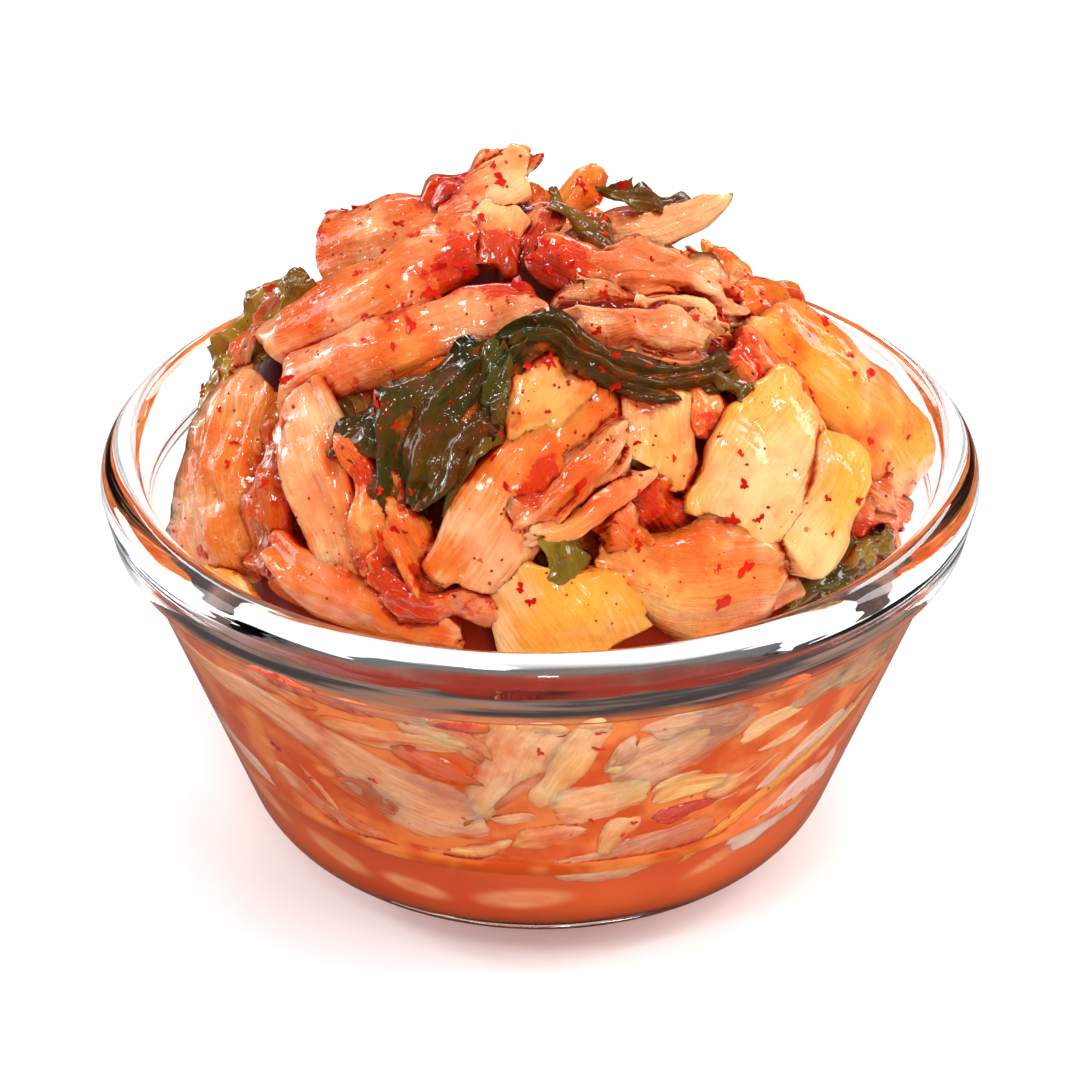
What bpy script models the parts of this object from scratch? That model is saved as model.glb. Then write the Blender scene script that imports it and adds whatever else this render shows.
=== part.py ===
"""Kimchi heaped in a small clear glass bowl, with its brine.

Metres, +Z up. The origin is under the middle of the bowl's base, on the surface that the bowl
stands on, and -Y is the front. Three solids: the glass bowl, the brine lying in it, and the heap
of cabbage pieces as one solid out to its uneven outline.
"""

from math import cos, hypot, pi, radians, sin, tan

import bmesh
import bpy
from mathutils import Vector

MM = 0.001

# Driving sizes
BOWL_RADIUS = 55 * MM          # widest ring of the rim
BOWL_HEIGHT = 53 * MM
GAP = 0.3 * MM                 # between pieces that touch

# Rim band: the thick rounded collar round the mouth
CREST_RADIUS = 52 * MM
BAND_WIDEST_Z = 49.9 * MM
BAND_LOW_RADIUS = 54 * MM
BAND_LOW_Z = 45.2 * MM
WALL_TOP_RADIUS = 51.9 * MM    # outer wall, where the band ends
WALL_TOP_Z = 44.3 * MM
MOUTH_RADIUS = 49.6 * MM       # inner edge of the rim
MOUTH_Z = 50.6 * MM

# Wall and base
WALL_TAPER = radians(20.0)     # flare of the wall from vertical
WALL_THICKNESS = 2.9 * MM
BASE_THICKNESS = 4.2 * MM
HEEL_RADIUS = 11.2 * MM        # outer corner between wall and base
FLOOR_RADIUS = 8.6 * MM        # inner corner between wall and floor
TURN_STEPS = 64
CORNER_STEPS = 5

# Contents
BRINE_LEVEL = 19 * MM
HEAP_WALL_Z = 39.5 * MM        # where the heap leaves the wall
HEAP_SHOULDER_Z = 47.5 * MM
HEAP_RISE = 33.5 * MM          # of the packed middle above its shoulder
HEAP_RADIUS = 40.8 * MM
HEAP_FULLNESS = 0.72           # under 1 rounds the heap, 1 makes a paraboloid
HEAP_GRID = 1.5 * MM           # grain of the heap's joined surface
HEAP_FACES = 5200
ROOM_GAP = GAP + 0.2 * MM      # keeps the heap's faces off the glass

# Cabbage pieces that give the heap its outline: start, end, width, thickness and bow in mm.
# The bow lifts a piece's middle away from the heap.
FRONT_PIECES = (
    ((-34, -14, 69), (-8, -9, 84), 11, 8, 3),      # long stem, upper left
    ((-30, -21, 68), (4, -20, 80), 10, 8, 3),      # long stem below it
    ((-25, 4, 78), (-10, 3, 85), 15, 9, 2),        # broad slab on the left shoulder
    ((-12, 0, 83), (-1, 7, 88), 10, 7, 1),         # the peak
    ((2, 0, 84), (9, 4, 85), 9, 7, 1),
    ((4, -10, 83), (22, 7, 83), 7, 4, 1),          # pale leaf reaching right
    ((-2, -14, 83), (8, -14, 82), 11, 9, 2),
    ((4, -21, 78), (23, -15, 75), 15, 8, 3),       # crumpled leaf
    ((22, -8, 77), (31, -4, 73), 9, 8, 1),
    ((25, -10, 75), (45, -5, 52), 13, 10, 3),      # thick stem down the right side
    ((17, -31, 66), (33, -24, 61), 17, 12, 3),     # big folded chunk
    ((30, -20, 65), (32, -31, 53), 11, 10, 2),
    ((12, -27, 72), (13, -35, 64), 11, 9, 2),
    ((-21, -27, 68), (0, -24, 77), 13, 5, 3),      # green leaf, lobe
    ((0, -25, 77), (22, -26, 71), 8, 5, 2),        # green leaf, strap
    ((3, -27, 74), (-10, -41, 58), 15, 10, 2),     # stem slab in the middle of the front
    ((10, -31, 69), (-3, -40, 61), 10, 7, 2),
    ((-5, -43, 55), (13, -43, 52), 12, 8, 2),
    ((8, -41, 57), (27, -35, 55), 14, 6, 2),
    ((28, -33, 51), (41, -22, 51), 10, 6, 1),
    ((-29, -23, 66), (-17, -39, 58), 12, 8, 2),
    ((-21, -33, 64), (-15, -42, 54), 12, 9, 2),
    ((-41, -18, 54), (-33, -14, 67), 17, 8, 2),    # broad leaf on the left
    ((-30, -32, 54), (-9, -44, 52), 11, 9, 2),
    ((-36, -8, 65), (-28, -1, 75), 10, 7, 2),
    ((40, -18, 55), (43, -10, 50), 9, 7, 1),
)
BACK_PIECES = (
    ((-30, 12, 70), (-8, 22, 77), 13, 8, 3),
    ((-34, 22, 58), (-18, 32, 62), 15, 8, 2),
    ((-12, 30, 68), (10, 27, 74), 12, 8, 3),
    ((8, 16, 79), (24, 20, 70), 12, 8, 2),
    ((16, 30, 62), (32, 18, 62), 13, 9, 2),
    ((-10, 40, 53), (12, 40, 54), 15, 8, 2),
    ((18, 36, 52), (31, 26, 54), 10, 8, 1),
    ((-36, 12, 60), (-40, 0, 56), 9, 7, 1),
    ((-27, 34, 51), (-14, 39, 52), 10, 8, 1),
    ((30, 8, 68), (38, 10, 57), 11, 7, 1),
)
PIECE_SQUARENESS = 0.62        # under 1 squares a rounded lump towards a slab

# Colours
GLASS_COLOUR = (0.93, 0.96, 0.97, 1)
BRINE_COLOUR = (0.72, 0.10, 0.02, 1)
KIMCHI_COLOUR = (0.78, 0.27, 0.06, 1)


def clear_scene():
    for old in list(bpy.data.objects):
        bpy.data.objects.remove(old, do_unlink=True)


def make_material(name, colour, roughness, transmission=0.0):
    material = bpy.data.materials.new(name)
    material.use_nodes = True
    shader = material.node_tree.nodes["Principled BSDF"]
    shader.inputs["Base Color"].default_value = colour
    shader.inputs["Roughness"].default_value = roughness
    shader.inputs["Metallic"].default_value = 0.0
    shader.inputs["Transmission Weight"].default_value = transmission
    return material


def arc(centre, radius, start, end, steps):
    """Points on an arc in the turning plane, angles in radians from the outward direction."""
    angles = [start + (end - start) * step / steps for step in range(steps + 1)]
    return [(centre[0] + radius * cos(a), centre[1] + radius * sin(a)) for a in angles]


def outer_wall(z):
    return WALL_TOP_RADIUS - (WALL_TOP_Z - z) * tan(WALL_TAPER)


def inner_wall(z):
    return outer_wall(z) - WALL_THICKNESS / cos(WALL_TAPER)


def wall_corner(wall, bottom, radius, steps):
    """Arc joining a flared wall to a level floor, from the wall down to the floor."""
    centre_z = bottom + radius
    centre_r = wall(centre_z) - radius / cos(WALL_TAPER)
    return arc((centre_r, centre_z), radius, -WALL_TAPER, -pi / 2, steps)


def rim_outline():
    """Rounded band from the inner edge of the mouth over the crest to the outer wall."""
    crest_height = BOWL_HEIGHT - BAND_WIDEST_Z
    crest_reach = BOWL_RADIUS - CREST_RADIUS
    outside = [
        (CREST_RADIUS + crest_reach * sin(a), BAND_WIDEST_Z + crest_height * cos(a))
        for a in (radians(d) for d in (0, 22, 45, 68, 90))
    ]
    inside = [
        (CREST_RADIUS - (CREST_RADIUS - MOUTH_RADIUS) * sin(a),
         MOUTH_Z + (BOWL_HEIGHT - MOUTH_Z) * cos(a))
        for a in (radians(d) for d in (90, 62, 32))
    ]
    foot = [
        (BOWL_RADIUS - 0.3 * MM, BAND_WIDEST_Z - 2.4 * MM),
        (BAND_LOW_RADIUS, BAND_LOW_Z),
        (BAND_LOW_RADIUS - 0.8 * MM, BAND_LOW_Z - 0.7 * MM),
        (WALL_TOP_RADIUS, WALL_TOP_Z),
    ]
    return inside + outside + foot


def turned(name, outline, material):
    """Solid of revolution; the outline starts and ends on the axis and runs down its outside."""
    mesh = bpy.data.meshes.new(name)
    points = [(r, 0.0, z) for r, z in outline]
    mesh.from_pydata(points, [(i, i + 1) for i in range(len(points) - 1)], [])
    solid = bpy.data.objects.new(name, mesh)
    bpy.context.collection.objects.link(solid)
    screw = solid.modifiers.new("turn", "SCREW")
    screw.steps = TURN_STEPS
    screw.render_steps = TURN_STEPS
    screw.use_merge_vertices = True
    screw.merge_threshold = 0.00005
    screw.use_smooth_shade = True
    mesh.materials.append(material)
    return solid


def make_bowl():
    inner_corner = wall_corner(inner_wall, BASE_THICKNESS, FLOOR_RADIUS, CORNER_STEPS)
    heel = wall_corner(outer_wall, 0.0, HEEL_RADIUS, CORNER_STEPS)
    inside = [(0.0, BASE_THICKNESS)] + inner_corner[::-1] + [(inner_wall(WALL_TOP_Z), WALL_TOP_Z)]
    outline = inside + rim_outline() + heel + [(0.0, 0.0)]
    return turned("glass_bowl", outline, make_material("glass", GLASS_COLOUR, 0.02, 1.0))


def make_brine():
    bottom = BASE_THICKNESS + GAP

    def wall(z):
        return inner_wall(z) - GAP / cos(WALL_TAPER)

    corner = wall_corner(wall, bottom, FLOOR_RADIUS - GAP, CORNER_STEPS)
    outline = [(0.0, BRINE_LEVEL), (wall(BRINE_LEVEL), BRINE_LEVEL)] + corner + [(0.0, bottom)]
    return turned("brine", outline, make_material("brine", BRINE_COLOUR, 0.08))


def room_radius(z):
    """Largest radius the heap may have at a height, inside the bowl's mouth all the way up."""
    return inner_wall(min(z, WALL_TOP_Z)) - ROOM_GAP / cos(WALL_TAPER)


def packed_middle(mesh):
    """The heap without its outer pieces: a plug in the bowl and a dome above it."""
    bottom = BRINE_LEVEL + GAP
    levels = [bottom + (HEAP_WALL_Z - bottom) * i / 6 for i in range(7)]
    outline = [(room_radius(z), z) for z in levels]
    for step in range(9):
        share = cos(radians(90 * step / 9))
        height = HEAP_RISE * (1 - share ** 2) ** HEAP_FULLNESS
        outline.append((HEAP_RADIUS * share, HEAP_SHOULDER_Z + height))
    rings = []
    for radius, z in outline:
        ring = [
            mesh.verts.new((radius * cos(a), radius * sin(a), z))
            for a in (2 * pi * i / TURN_STEPS for i in range(TURN_STEPS))
        ]
        rings.append(ring)
    for lower, upper in zip(rings, rings[1:]):
        for i in range(TURN_STEPS):
            j = (i + 1) % TURN_STEPS
            mesh.faces.new((lower[i], lower[j], upper[j], upper[i]))
    mesh.faces.new(rings[0][::-1])
    mesh.faces.new(rings[-1])


def cabbage_lump(mesh, start, end, width, thickness, bow):
    """Rounded slab from start to end, lying flat on the heap with its middle bowed outwards."""
    start, end = Vector(start) * MM, Vector(end) * MM
    middle = (start + end) / 2
    along = (end - start).normalized()
    out = middle - Vector((0, 0, WALL_TOP_Z))
    out = (out - along * out.dot(along)).normalized()
    across = out.cross(along)
    reach = (end - start).length / 2 + thickness * MM / 4
    half = Vector((reach, width * MM / 2, thickness * MM / 2))
    made = bmesh.ops.create_icosphere(mesh, subdivisions=3, radius=1.0)
    for vert in made["verts"]:
        unit = [abs(c) ** PIECE_SQUARENESS * (1 if c > 0 else -1) for c in vert.co]
        lift = bow * MM * (1 - unit[0] ** 2)
        vert.co = (middle + along * unit[0] * half.x + across * unit[1] * half.y
                   + out * (unit[2] * half.z + lift))


def joined_surface(heap, keep_faces=0):
    """Remeshes the heap to one closed skin, thinned to keep_faces triangles if that is set."""
    remesh = heap.modifiers.new("join", "REMESH")
    remesh.mode = "VOXEL"
    remesh.voxel_size = HEAP_GRID
    skin = bpy.data.meshes.new_from_object(heap.evaluated_get(bpy.context.evaluated_depsgraph_get()))
    heap.modifiers.clear()
    heap.data = skin
    if keep_faces:
        skin.calc_loop_triangles()
        thin = heap.modifiers.new("thin", "DECIMATE")
        thin.ratio = keep_faces / len(skin.loop_triangles)
        thin.use_collapse_triangulate = True
        graph = bpy.context.evaluated_depsgraph_get()
        thinned = bpy.data.meshes.new_from_object(heap.evaluated_get(graph))
        heap.modifiers.clear()
        heap.data = thinned


def press_into_bowl(mesh):
    """Moves what stands past the bowl's inside, or into the brine, back to the room there."""
    for vert in mesh.vertices:
        vert.co.z = max(vert.co.z, BRINE_LEVEL + GAP)
        radius = hypot(vert.co.x, vert.co.y)
        room = room_radius(vert.co.z)
        if radius > room:
            vert.co.x *= room / radius
            vert.co.y *= room / radius


def make_heap():
    lumps = bmesh.new()
    packed_middle(lumps)
    for piece in FRONT_PIECES + BACK_PIECES:
        cabbage_lump(lumps, *piece)
    mesh = bpy.data.meshes.new("kimchi_heap")
    lumps.to_mesh(mesh)
    lumps.free()
    heap = bpy.data.objects.new("kimchi_heap", mesh)
    bpy.context.collection.objects.link(heap)
    joined_surface(heap)
    press_into_bowl(heap.data)
    joined_surface(heap, HEAP_FACES)
    press_into_bowl(heap.data)
    heap.data.materials.append(make_material("kimchi", KIMCHI_COLOUR, 0.2))
    heap.data.shade_smooth()
    return heap


clear_scene()
make_bowl()
make_brine()
make_heap()
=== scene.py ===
"""Looks for kimchi heaped in a small clear glass bowl.

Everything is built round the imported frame: a turned glass bowl, the brine lying in it, and the
heap as separate cabbage stems, leaves, green leaf, chilli flakes and sauce over a smaller core.
Metres throughout, piece sizes in the lists in millimetres. Bearings are in degrees from the
front (-Y), positive to the right (+X).
"""
import itertools
import random
from functools import partial
from math import cos, pi, radians, sin, sqrt, tan

import bmesh
import bpy
import numpy as np
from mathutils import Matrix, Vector
from mathutils.bvhtree import BVHTree


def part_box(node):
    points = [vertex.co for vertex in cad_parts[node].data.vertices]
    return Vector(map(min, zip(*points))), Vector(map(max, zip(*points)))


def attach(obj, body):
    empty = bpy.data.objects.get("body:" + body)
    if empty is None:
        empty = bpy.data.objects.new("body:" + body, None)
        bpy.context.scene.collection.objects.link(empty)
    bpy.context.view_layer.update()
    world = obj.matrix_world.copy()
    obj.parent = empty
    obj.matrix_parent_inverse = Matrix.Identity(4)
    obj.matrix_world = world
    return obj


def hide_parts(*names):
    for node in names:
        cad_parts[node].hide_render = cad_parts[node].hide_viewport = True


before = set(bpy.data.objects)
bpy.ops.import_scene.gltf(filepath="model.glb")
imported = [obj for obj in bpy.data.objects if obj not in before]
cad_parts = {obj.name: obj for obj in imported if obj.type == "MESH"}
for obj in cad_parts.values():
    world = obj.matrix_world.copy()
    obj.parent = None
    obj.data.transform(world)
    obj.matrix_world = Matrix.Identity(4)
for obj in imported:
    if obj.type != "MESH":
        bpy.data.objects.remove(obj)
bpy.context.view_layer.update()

MM = 0.001

# The frame's sizes
BOWL_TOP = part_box("glass_bowl")[1]
BOWL_RADIUS = BOWL_TOP.x
BOWL_HEIGHT = BOWL_TOP.z
BRINE_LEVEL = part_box("brine")[1].z
HEAP_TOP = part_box("kimchi_heap")[1].z

# Bowl section, from the rim down
CREST_RADIUS = BOWL_RADIUS - 3 * MM
BAND_WIDEST_Z = BOWL_HEIGHT - 3.1 * MM
BAND_LOW_RADIUS = BOWL_RADIUS - 1 * MM
BAND_LOW_Z = BOWL_HEIGHT - 7.8 * MM
WALL_TOP_RADIUS = BOWL_RADIUS - 3.1 * MM
WALL_TOP_Z = BOWL_HEIGHT - 8.7 * MM
MOUTH_RADIUS = BOWL_RADIUS - 5.4 * MM
MOUTH_Z = BOWL_HEIGHT - 2.4 * MM
WALL_TAPER = radians(20)
WALL_THICKNESS = 2.9 * MM
BASE_THICKNESS = 4.2 * MM
HEEL_RADIUS = 11.2 * MM
FLOOR_RADIUS = 8.6 * MM
TURN_STEPS = 192
CORNER_STEPS = 14

# Contents
FILL_REACH = 0.15 * MM         # how far the filling goes into the glass, so that no air shows
PIECE_REACH = 0.3 * MM         # the same for cabbage pressed on the wall
REACH_STEP = 0.012 * MM        # and how much nearer each further piece lies
SOFT_EDGE = 0.3                # mm of a piece's swell over which the brine thins out on it
WALL_ARC = 42                  # mm round the wall to a radian, where pieces are laid on it flat
SHOULDER_Z = BOWL_HEIGHT - 4 * MM
FILL_TOP = WALL_TOP_Z - 0.3 * MM
PAINTED_SHADE_CLIMB = 3.8 * MM          # how far the painted shade band climbs the glass in front
SIDE_BEARING = 92              # degrees from the front where the filling is lowest at the glass
SIDE_SINK = 7 * MM             # and how much lower it stands there
HEAP_RADIUS = 45 * MM
HEAP_RISE = HEAP_TOP - SHOULDER_Z - 4 * MM
HEAP_ROUNDNESS = 0.7
BACK_RISE = 29 * MM            # the back of the heap stays below what shows of the front
RIDGE = 0.35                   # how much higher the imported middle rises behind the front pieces
CORE_SHOULDER = 40 * MM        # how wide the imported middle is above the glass
MOST_SAUCE = 1.7
UNDER_COUNT = 20               # pieces packed under the named ones
SCRAP_COUNT = 38
BACK_COUNT = 34
SIDE_COUNT = 16                # half of them on each side
BEHIND_GLASS_COUNT = 44        # pieces on the glass at the sides and back
FLAKE_COUNT = 330
SPECK_COUNT = 900
FLAKE_SHAPES = 7

# Points that pieces on the heap face away from
HEART_Z = 42                   # mm
FRONT_HEART = Vector((0, 18, HEART_Z)) * MM
BACK_HEART = Vector((0, -12, HEART_Z)) * MM

random.seed(8)


def srgb(red, green, blue):
    """Linear colour from 0-255 values as a painter would mix them."""
    def linear(value):
        share = value / 255
        return share / 12.92 if share <= 0.04045 else ((share + 0.055) / 1.055) ** 2.4
    return linear(red), linear(green), linear(blue), 1.0


# ---------------------------------------------------------------- colours

FLESH = {
    "cream": srgb(250, 198, 116), "pale": srgb(242, 170, 90), "yellow": srgb(250, 172, 66),
    "amber": srgb(234, 132, 38), "orange": srgb(216, 90, 16), "blush": srgb(222, 122, 52),
    "mauve": srgb(202, 122, 88), "petal": srgb(240, 168, 112), "milk": srgb(238, 206, 192),
    "brown": srgb(140, 68, 22), "olive": srgb(92, 76, 14), "lime": srgb(164, 130, 26),
    "green": srgb(58, 52, 10), "bottle": srgb(32, 33, 6),
}
WATERY = srgb(250, 208, 160)
STAIN = srgb(216, 78, 4)
SAUCE = srgb(194, 30, 0)
DEEP_SAUCE = srgb(112, 12, 0)
BRINE = srgb(218, 80, 24)
GREEN_SHADE = srgb(66, 38, 12)
# Painted shade, multiplied into the cabbage colour where crevices close in
PAINTED_CREVICE_SHADE = (0.55, 0.24, 0.1, 1.0)


# ---------------------------------------------------------------- smooth noise

def lattice(cell, seed):
    """Repeatable random values from 0 to 1 on whole-number cells."""
    mixed = (cell[..., 0] * 73856093) ^ (cell[..., 1] * 19349663) ^ (cell[..., 2] * 83492791)
    mixed = (mixed ^ (seed * 2654435761)) & 0x7FFFFFFF
    mixed = ((mixed ^ (mixed >> 13)) * 1274126177) & 0x7FFFFFFF
    return (mixed ^ (mixed >> 16)) % 65536 / 65535.0


def cloud(points, size, seed=0):
    """Smooth noise from -1 to 1 over points, with features about size across."""
    scaled = np.asarray(points) / size + 1000.0
    cell = np.floor(scaled).astype(np.int64)
    part = scaled - cell
    part = part * part * part * (part * (part * 6 - 15) + 10)
    total = np.zeros(len(scaled))
    for corner in range(8):
        step = np.array([corner & 1, corner >> 1 & 1, corner >> 2 & 1])
        weight = np.prod(np.where(step == 1, part, 1 - part), axis=1)
        total += weight * lattice(cell + step, seed)
    return total * 2 - 1


def creases(points, size, seed=0):
    """Noise with sharp ridges, from -1 in the folds to 1 on the ridges."""
    first = 1 - 2 * np.abs(cloud(points, size, seed))
    second = 1 - 2 * np.abs(cloud(points, size * 0.47, seed + 7))
    return 0.68 * first + 0.32 * second


def flat_cloud(along, across, seed):
    """Smooth noise over two measures of a piece, with features about 1 across."""
    return cloud(np.stack([along, across, 0 * along], 1), 1.0, seed)


def ramp(values, start, length):
    """0 up to start, then evenly up to 1 over length."""
    return np.clip((values - start) / length, 0, 1)


def eased(share):
    return share * share * (3 - 2 * share)


# ---------------------------------------------------------------- modelling helpers

def clear_selection():
    if bpy.context.object and bpy.context.object.mode != "OBJECT":
        bpy.ops.object.mode_set(mode="OBJECT")
    bpy.ops.object.select_all(action="DESELECT")


def pick(piece):
    clear_selection()
    piece.select_set(True)
    bpy.context.view_layer.objects.active = piece


def join(pieces, name):
    clear_selection()
    for piece in pieces:
        piece.select_set(True)
    bpy.context.view_layer.objects.active = pieces[0]
    bpy.ops.object.join()
    joined = bpy.context.object
    joined.name = name
    joined.data.name = name
    return joined


def read_vectors(rows, field):
    flat = np.empty(len(rows) * 3, np.float32)
    rows.foreach_get(field, flat)
    return flat.reshape(-1, 3).astype(float)


def positions(mesh):
    return read_vectors(mesh.vertices, "co")


def move_to(mesh, points):
    mesh.vertices.foreach_set("co", np.ascontiguousarray(points, np.float32).ravel())
    mesh.update()


def paint(mesh, name, values, kind="FLOAT", field="value"):
    """Keeps a value or a colour for each corner point, under a name the materials read."""
    layer = mesh.attributes.get(name) or mesh.attributes.new(name, kind, "POINT")
    layer.data.foreach_set(field, np.ascontiguousarray(values, np.float32).ravel())


def relief(piece, size, depth):
    """Raises a piece's surface by a cloudy texture and applies it."""
    texture = bpy.data.textures.new(piece.name + "_clouds", "CLOUDS")
    texture.noise_scale = size
    displace = piece.modifiers.new("relief", "DISPLACE")
    displace.texture = texture
    displace.strength = depth
    displace.mid_level = 0.5
    displace.texture_coords = "LOCAL"
    pick(piece)
    bpy.ops.object.modifier_apply(modifier=displace.name)


# ---------------------------------------------------------------- the bowl's section

def outer_wall(z):
    return WALL_TOP_RADIUS - (WALL_TOP_Z - z) * tan(WALL_TAPER)


def inner_wall(z):
    return outer_wall(z) - WALL_THICKNESS / cos(WALL_TAPER)


def inside_radius(z):
    """Radius of the bowl's inside at a height, from its floor to its mouth."""
    corner_z = BASE_THICKNESS + FLOOR_RADIUS
    foot_z = corner_z - FLOOR_RADIUS * sin(WALL_TAPER)
    if z >= WALL_TOP_Z:
        lean = (MOUTH_RADIUS - inner_wall(WALL_TOP_Z)) / (MOUTH_Z - WALL_TOP_Z)
        return inner_wall(WALL_TOP_Z) + lean * (z - WALL_TOP_Z)
    if z >= foot_z:
        return inner_wall(z)
    centre_r = inner_wall(corner_z) - FLOOR_RADIUS / cos(WALL_TAPER)
    drop = min(corner_z - z, FLOOR_RADIUS)
    return centre_r + sqrt(FLOOR_RADIUS ** 2 - drop ** 2)


def wall_corner(wall, bottom, radius):
    """Arc from a flared wall down to a level floor."""
    centre_z = bottom + radius
    centre_r = wall(centre_z) - radius / cos(WALL_TAPER)
    turns = [-WALL_TAPER + (WALL_TAPER - pi / 2) * i / CORNER_STEPS for i in range(CORNER_STEPS + 1)]
    return [(centre_r + radius * cos(a), centre_z + radius * sin(a)) for a in turns]


def straight(start, end, steps):
    """Points between two ends, without the ends."""
    return [tuple(a + (b - a) * i / steps for a, b in zip(start, end)) for i in range(1, steps)]


def rim_outline():
    """Rounded band: inner lip, crest, widest ring and the tucked-in foot of the band."""
    lip = BOWL_HEIGHT - MOUTH_Z
    crest = BOWL_HEIGHT - BAND_WIDEST_Z
    inside = [(CREST_RADIUS - (CREST_RADIUS - MOUTH_RADIUS) * sin(a), MOUTH_Z + lip * cos(a))
              for a in (radians(90 - 10 * i) for i in range(9))]
    outside = [(CREST_RADIUS + (BOWL_RADIUS - CREST_RADIUS) * sin(a), BAND_WIDEST_Z + crest * cos(a))
               for a in (radians(9 * i) for i in range(11))]
    side = straight((BOWL_RADIUS, BAND_WIDEST_Z), (BAND_LOW_RADIUS, BAND_LOW_Z), 5)
    foot_radius = BAND_LOW_RADIUS - WALL_TOP_RADIUS
    foot_height = BAND_LOW_Z - WALL_TOP_Z
    foot = [(WALL_TOP_RADIUS + foot_radius * cos(a), BAND_LOW_Z - foot_height * sin(a))
            for a in (radians(15 * i) for i in range(7))]
    return inside + outside + side + foot


def put_in_scene(name, data):
    item = bpy.data.objects.new(name, data)
    bpy.context.scene.collection.objects.link(item)
    return item


def new_piece(name, corners, edges, faces):
    mesh = bpy.data.meshes.new(name)
    mesh.from_pydata(corners, edges, faces)
    piece = put_in_scene(name, mesh)
    pick(piece)
    return piece


def turned(name, outline, steps=TURN_STEPS):
    """Spins an outline that starts and ends on the axis, and closes its poles."""
    piece = new_piece(name, [(r, 0, z) for r, z in outline],
                      [(i, i + 1) for i in range(len(outline) - 1)], [])
    bpy.ops.object.mode_set(mode="EDIT")
    bpy.ops.mesh.select_all(action="SELECT")
    bpy.ops.mesh.spin(steps=steps, angle=2 * pi, center=(0, 0, 0), axis=(0, 0, 1))
    bpy.ops.mesh.select_all(action="SELECT")
    bpy.ops.mesh.remove_doubles(threshold=0.00001)
    bpy.ops.mesh.normals_make_consistent(inside=False)
    bpy.ops.object.mode_set(mode="OBJECT")
    bpy.ops.object.shade_smooth()
    return piece


def make_bowl():
    inner = wall_corner(inner_wall, BASE_THICKNESS, FLOOR_RADIUS)[::-1]
    heel = wall_corner(outer_wall, 0.0, HEEL_RADIUS)
    wall_end = (inner_wall(WALL_TOP_Z), WALL_TOP_Z)
    mouth = (MOUTH_RADIUS, MOUTH_Z)
    floor = [(0.0, BASE_THICKNESS)] + straight((0, BASE_THICKNESS), inner[0], 4)
    wall = straight(inner[-1], wall_end, 8) + [wall_end] + straight(wall_end, mouth, 3)
    outside = straight((WALL_TOP_RADIUS, WALL_TOP_Z), heel[0], 8)
    base = straight(heel[-1], (0.0, 0.0), 4) + [(0.0, 0.0)]
    return turned("clear_bowl", floor + inner + wall + rim_outline() + outside + heel + base)


# ---------------------------------------------------------------- cabbage pieces

def blank_slab(name, along, across, through):
    """A cube cut into even strips, ready to be laid along a line."""
    clear_selection()
    bpy.ops.mesh.primitive_cube_add(size=2)
    blank = bpy.context.object
    blank.name = name
    bpy.ops.object.mode_set(mode="EDIT")
    bpy.ops.mesh.select_mode(type="EDGE")
    for axis, cuts in enumerate((along, across, through)):
        bpy.ops.mesh.select_all(action="DESELECT")
        shape = bmesh.from_edit_mesh(blank.data)
        for edge in shape.edges:
            ends = [v.co[axis] for v in edge.verts]
            edge.select_set(abs(ends[0] - ends[1]) > 0.0001)
        bmesh.update_edit_mesh(blank.data)
        bpy.ops.mesh.subdivide(number_cuts=cuts)
    bpy.ops.object.mode_set(mode="OBJECT")
    bpy.ops.object.shade_smooth()
    return blank


def unit(vectors):
    return vectors / np.maximum(np.linalg.norm(vectors, axis=-1, keepdims=True), 1e-12)


def smooth_line(points, shares):
    """Reads a smooth curve through points at even shares of its length; also its own steps."""
    line = np.asarray(points, float)
    padded = np.vstack([2 * line[0] - line[1], line, 2 * line[-1] - line[-2]])
    steps = np.linspace(0, len(line) - 1, 30 * (len(line) - 1) + 1)
    first = np.minimum(steps.astype(int), len(line) - 2)
    t = (steps - first)[:, None]
    a, b, c, d = (padded[first + k] for k in range(4))
    curve = 0.5 * (2 * b + (c - a) * t + (2 * a - 5 * b + 4 * c - d) * t ** 2
                   + (3 * b - a - 3 * c + d) * t ** 3)
    lengths = np.r_[0, np.cumsum(np.linalg.norm(np.diff(curve, axis=0), axis=1))]
    step_at = np.interp(shares * lengths[-1], lengths, steps)
    places = np.stack([np.interp(step_at, steps, curve[:, k]) for k in range(3)], axis=1)
    return places, step_at / (len(line) - 1), lengths[-1]


def spread(values, shares):
    """A few values read smoothly along a piece."""
    values = np.atleast_1d(np.asarray(values, float))
    if len(values) == 1:
        return np.full(len(shares), values[0])
    places, _, _ = smooth_line([(v, 0, 0) for v in values], np.linspace(0, 1, 61))
    return np.interp(shares, np.linspace(0, 1, 61), places[:, 0])


def crowded(values, evenly, outwards):
    """Moves values from -1 to 1 nearer both ends."""
    return evenly * values + outwards * (1.5 * values - 0.5 * values ** 3)


SHAPES = {
    "stem": dict(edge=0.8, roundness=0.25, curl=35, roll=0, ends=(0.5, 0.5), ribs=(0.3, 2.0), fibre=0.16,
                 ruffle=(0.4, 1.3), crumple=(0.25, 5), wobble=(0.6, 7), ragged=0.9, slant=(0, 0)),
    "leaf": dict(edge=0.6, roundness=0.9, curl=30, roll=0, ends=(2.0, 2.0), ribs=(0.15, 3), fibre=0.22,
                 ruffle=(1.0, 1.8), crumple=(0.8, 6), wobble=(0.9, 8), ragged=1.0, slant=(0, 0)),
    "green": dict(edge=0.5, roundness=0.9, curl=60, roll=0, ends=(1.6, 1.6), ribs=(0.2, 4), fibre=0.3,
                  ruffle=(1.0, 2.6), crumple=(1.1, 4), wobble=(0.9, 6), ragged=1.2, slant=(0, 0)),
}
SHAPES["scrap"] = SHAPES["mid"] = SHAPES["leaf"]
KIND_PIECES = {}
PIECE_SEEDS = itertools.count(101)


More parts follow.
